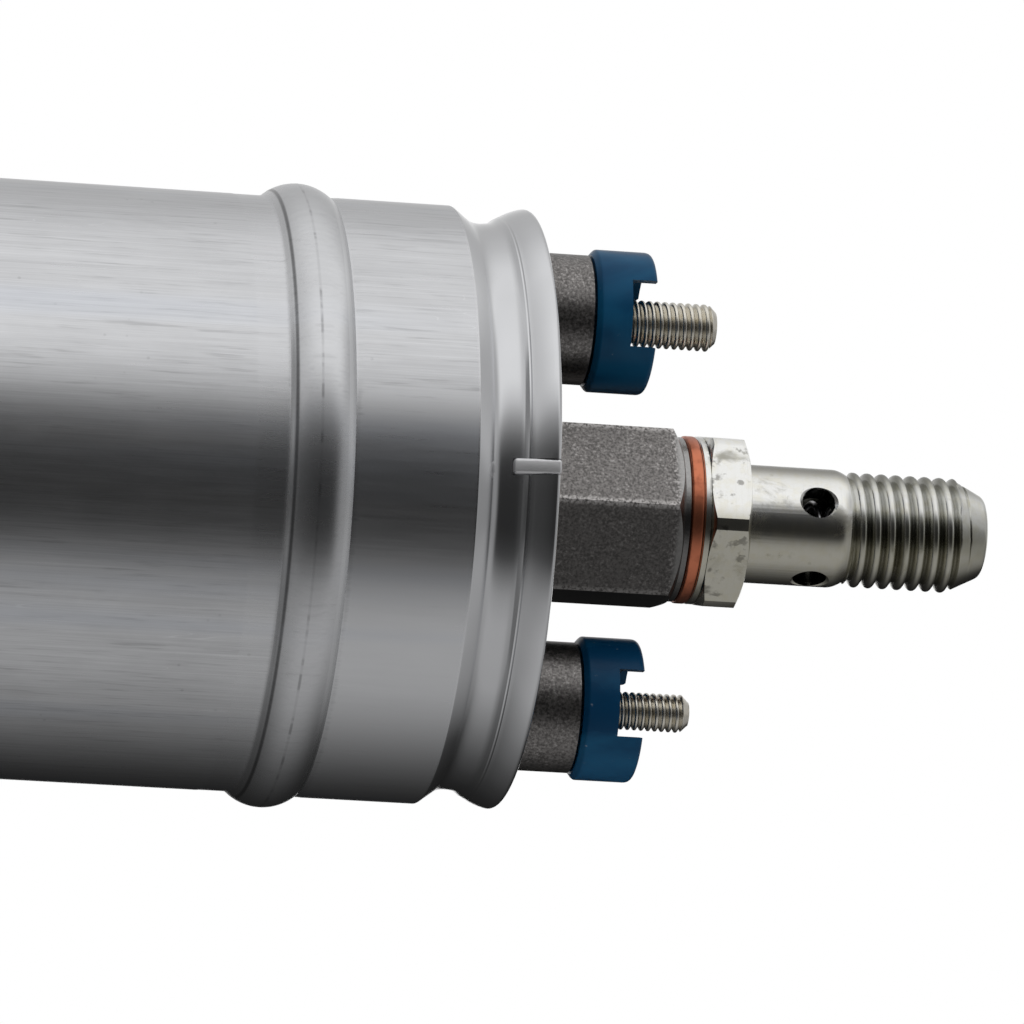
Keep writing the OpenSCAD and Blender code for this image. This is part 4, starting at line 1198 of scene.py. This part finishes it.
@dataclass
class InnerParts:
    """CAD nodes that stay as they are and get a fuller finish."""

    groups: tuple[tuple[Finish, str], ...] = (
        (Finishes.rubber, "outlet_cover_seal positive_stud_seal negative_stud_seal inlet_cover_seal"),
        (Finishes.blue, "positive_inner_insulator negative_inner_insulator"),
        (Finishes.black, "brush_holder commutator_hub thrust_washer"),
        (Finishes.brass, "check_valve_seat positive_contact_strip negative_contact_strip inlet_strainer"),
        (Finishes.bronze, "outlet_bush inlet_bush"),
        (Finishes.braid, "positive_brush_lead negative_brush_lead"),
        (Finishes.carbon, "positive_brush negative_brush"),
        (Finishes.spring, "upper_magnet_clip lower_magnet_clip retaining_ring upper_stack_screw "
                          "lower_stack_screw"),
        (Finishes.steel, "check_valve_ball relief_ball armature_shaft drive_coupling pump_rotor cam_ring "
                         "pressure_plate intake_plate roller_1 roller_2 roller_3 roller_4 roller_5"),
        (Finishes.flux, "flux_ring"),
        (Finishes.ferrite, "front_magnet rear_magnet"),
        (Finishes.laminate, "armature_core"),
        (Finishes.winding, "armature_windings"),
        (Finishes.commutator, "commutator_bars"),
        (Finishes.cast_inlet, "inlet_cover"))

    def build(self, nodes: dict[str, bpy.types.Object]) -> None:
        """Assigns the finishes.

        Args:
            nodes: The frame's CAD nodes by name.
        """
        for finish, names in self.groups:
            for name in names.split():
                for holder in nodes[name].material_slots:
                    holder.link = "OBJECT"
                    holder.material = finish.material()
                LOG.info("%s: %s", name, finish.name)


# Studio


@dataclass
class Studio:
    """Camera, floor, tent and lamp; the tent's stops are (angle round X, brightness)."""

    target: Triple = (74.04, 0.0, -0.25)
    azimuth: float = -9.74
    elevation: float = -8.33
    roll: float = 2.03
    distance: float = 914.3
    focal_pixels: float = 9054.5
    photo_side: int = 1024
    lamp_place: Triple = (0.05, -0.35, 1.25)
    lamp_target: Triple = (0.03, 0.0, 0.0)
    lamp_size: float = 1.2
    lamp_watts: float = 16.0
    floor_z: float = -260.0
    tent_radius: float = 3000.0
    tent_strength: float = 1.06
    tent: tuple[Point, ...] = (
        (-180, 0.01), (-160, 0.02), (-145, 0.04), (-130, 0.09), (-115, 0.18), (-100, 0.31), (-86, 0.45),
        (-70, 0.48), (-56, 0.47), (-44, 0.38), (-35, 0.20), (-28, 0.06), (-18, 0.03), (0, 0.03), (12, 0.045),
        (20, 0.15), (28, 0.39), (36, 0.81), (44, 1.0), (60, 1.0), (74, 0.95), (86, 0.94), (98, 0.98),
        (110, 0.84), (122, 0.68), (134, 0.57), (146, 0.53), (156, 0.62), (166, 0.92), (180, 1.0))

    def camera(self) -> None:
        """Makes the camera at the photograph's viewing angle."""
        a, e = math.radians(self.azimuth), math.radians(self.elevation)
        back = Vector((math.sin(a) * math.cos(e), -math.cos(a) * math.cos(e), math.sin(e)))
        data = bpy.data.cameras.new("camera")
        data.sensor_width, data.sensor_height, data.sensor_fit = 36.0, 36.0, "AUTO"
        data.lens = self.focal_pixels / self.photo_side * data.sensor_width
        data.clip_start, data.clip_end = 0.05, 20.0
        made = bpy.data.objects.new("camera", data)
        bpy.context.scene.collection.objects.link(made)
        made.rotation_mode = "QUATERNION"
        made.location = Vector(self.target) * MM + back * self.distance * MM
        made.rotation_quaternion = (-back).to_track_quat("-Z", "Y") @ Quaternion(
            (0, 0, 1), math.radians(self.roll))
        bpy.context.scene.camera = made

    def floor(self) -> None:
        """Makes the pale floor."""
        material, graph = new_material("pale_floor")
        tone = graph.noise(8, 3.0)
        graph.surface(Base_Color=graph.mix(tone, (0.80, 0.80, 0.80), (0.84, 0.84, 0.84)), Roughness=0.9)
        mesh = bmesh.new()
        bmesh.ops.create_grid(mesh, x_segments=2, y_segments=2, size=2500)
        made = self._stage("floor", moved(mesh, (0, 0, self.floor_z)), material)
        made.visible_glossy = False

    def tent_sphere(self) -> None:
        """Makes the tent that the metal mirrors: pale above, grey below and dark at the camera."""
        material, graph = new_material("tent_cloth")
        x, y, z = graph.axes()
        turn = graph.value("ShaderNodeMath", {"operation": "ARCTAN2"}, {0: z, 1: 0 - y})
        ramp = graph.node("ShaderNodeValToRGB", {"stops": [
            ((angle + 180) / 360, level) for angle, level in self.tent]}, {0: turn * (0.5 / math.pi) + 0.5})
        side = x / self.tent_radius
        left = side.step(-0.05, -0.7) * 0.3 + side.step(-0.74, -0.80) * side.step(-0.95, -0.89) * 0.5
        level = graph.mix(left, ramp.outputs[0], (0.10, 0.10, 0.10))
        level = graph.mix(side.step(0.62, 0.86) * 0.75, level, (0.40, 0.40, 0.40))
        glow = graph.node("ShaderNodeEmission", inputs={"Color": level, "Strength": self.tent_strength})
        graph.node("ShaderNodeOutputMaterial", inputs={0: glow.outputs[0]})
        mesh = bmesh.new()
        bmesh.ops.create_icosphere(mesh, subdivisions=5, radius=self.tent_radius)
        made = self._stage("studio_tent", mesh, material)
        made.visible_camera = made.visible_diffuse = made.visible_transmission = False
        made.visible_shadow = made.visible_volume_scatter = False

    @staticmethod
    def _stage(name: str, mesh: Mesh, material: bpy.types.Material) -> bpy.types.Object:
        """Makes a stage object.

        Args:
            name: The object's name.
            mesh: Its mesh in millimetres, which is used up.
            material: Its material.

        Returns:
            The object.
        """
        to_metres(mesh)
        made = SHOP.placed(name, mesh)
        made.data.materials.append(material)
        return made

    def softbox(self) -> None:
        """Makes the soft area lamp aimed at the pump."""
        data = bpy.data.lights.new("overhead_softbox", "AREA")
        data.shape, data.size, data.energy = "SQUARE", self.lamp_size, self.lamp_watts
        made = bpy.data.objects.new("overhead_softbox", data)
        made.location = self.lamp_place
        aim = Vector(self.lamp_target) - Vector(self.lamp_place)
        made.rotation_euler = aim.to_track_quat("-Z", "Y").to_euler()
        bpy.context.scene.collection.objects.link(made)
        made.visible_glossy = False

    def world(self) -> None:
        """Makes the white world, plain for diffuse light."""
        bpy.context.scene.world = world = bpy.data.worlds.new("studio")
        world.use_nodes = True
        graph = Graph(world.node_tree)
        path = graph.node("ShaderNodeLightPath")
        camera, glossy, transmitted = (
            Value(graph, path.outputs[f"Is {kind} Ray"]) for kind in ("Camera", "Glossy", "Transmission"))
        shown = camera.maximum(glossy).maximum(transmitted)
        light = graph.mix(shown, (0.52, 0.53, 0.55), (1.0, 1.0, 1.0))
        glow = graph.node("ShaderNodeBackground", inputs={"Color": light, "Strength": 1.0})
        graph.node("ShaderNodeOutputWorld", inputs={0: glow.outputs[0]})

    def build(self) -> None:
        """Sets up the whole studio."""
        for make in (self.camera, self.world, self.floor, self.tent_sphere, self.softbox):
            make()
        bpy.context.scene.view_settings.view_transform = "Standard"
        LOG.info("studio ready")


def main() -> None:
    """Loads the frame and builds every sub-assembly."""
    logging.basicConfig(level=logging.INFO, format="%(message)s")
    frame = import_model()
    for part in (Studio(), Housing(), OutletEnd(), OutletValve(), Springs()):
        part.build()
    InnerParts().build(frame["nodes"])


if __name__ == "__main__":
    main()
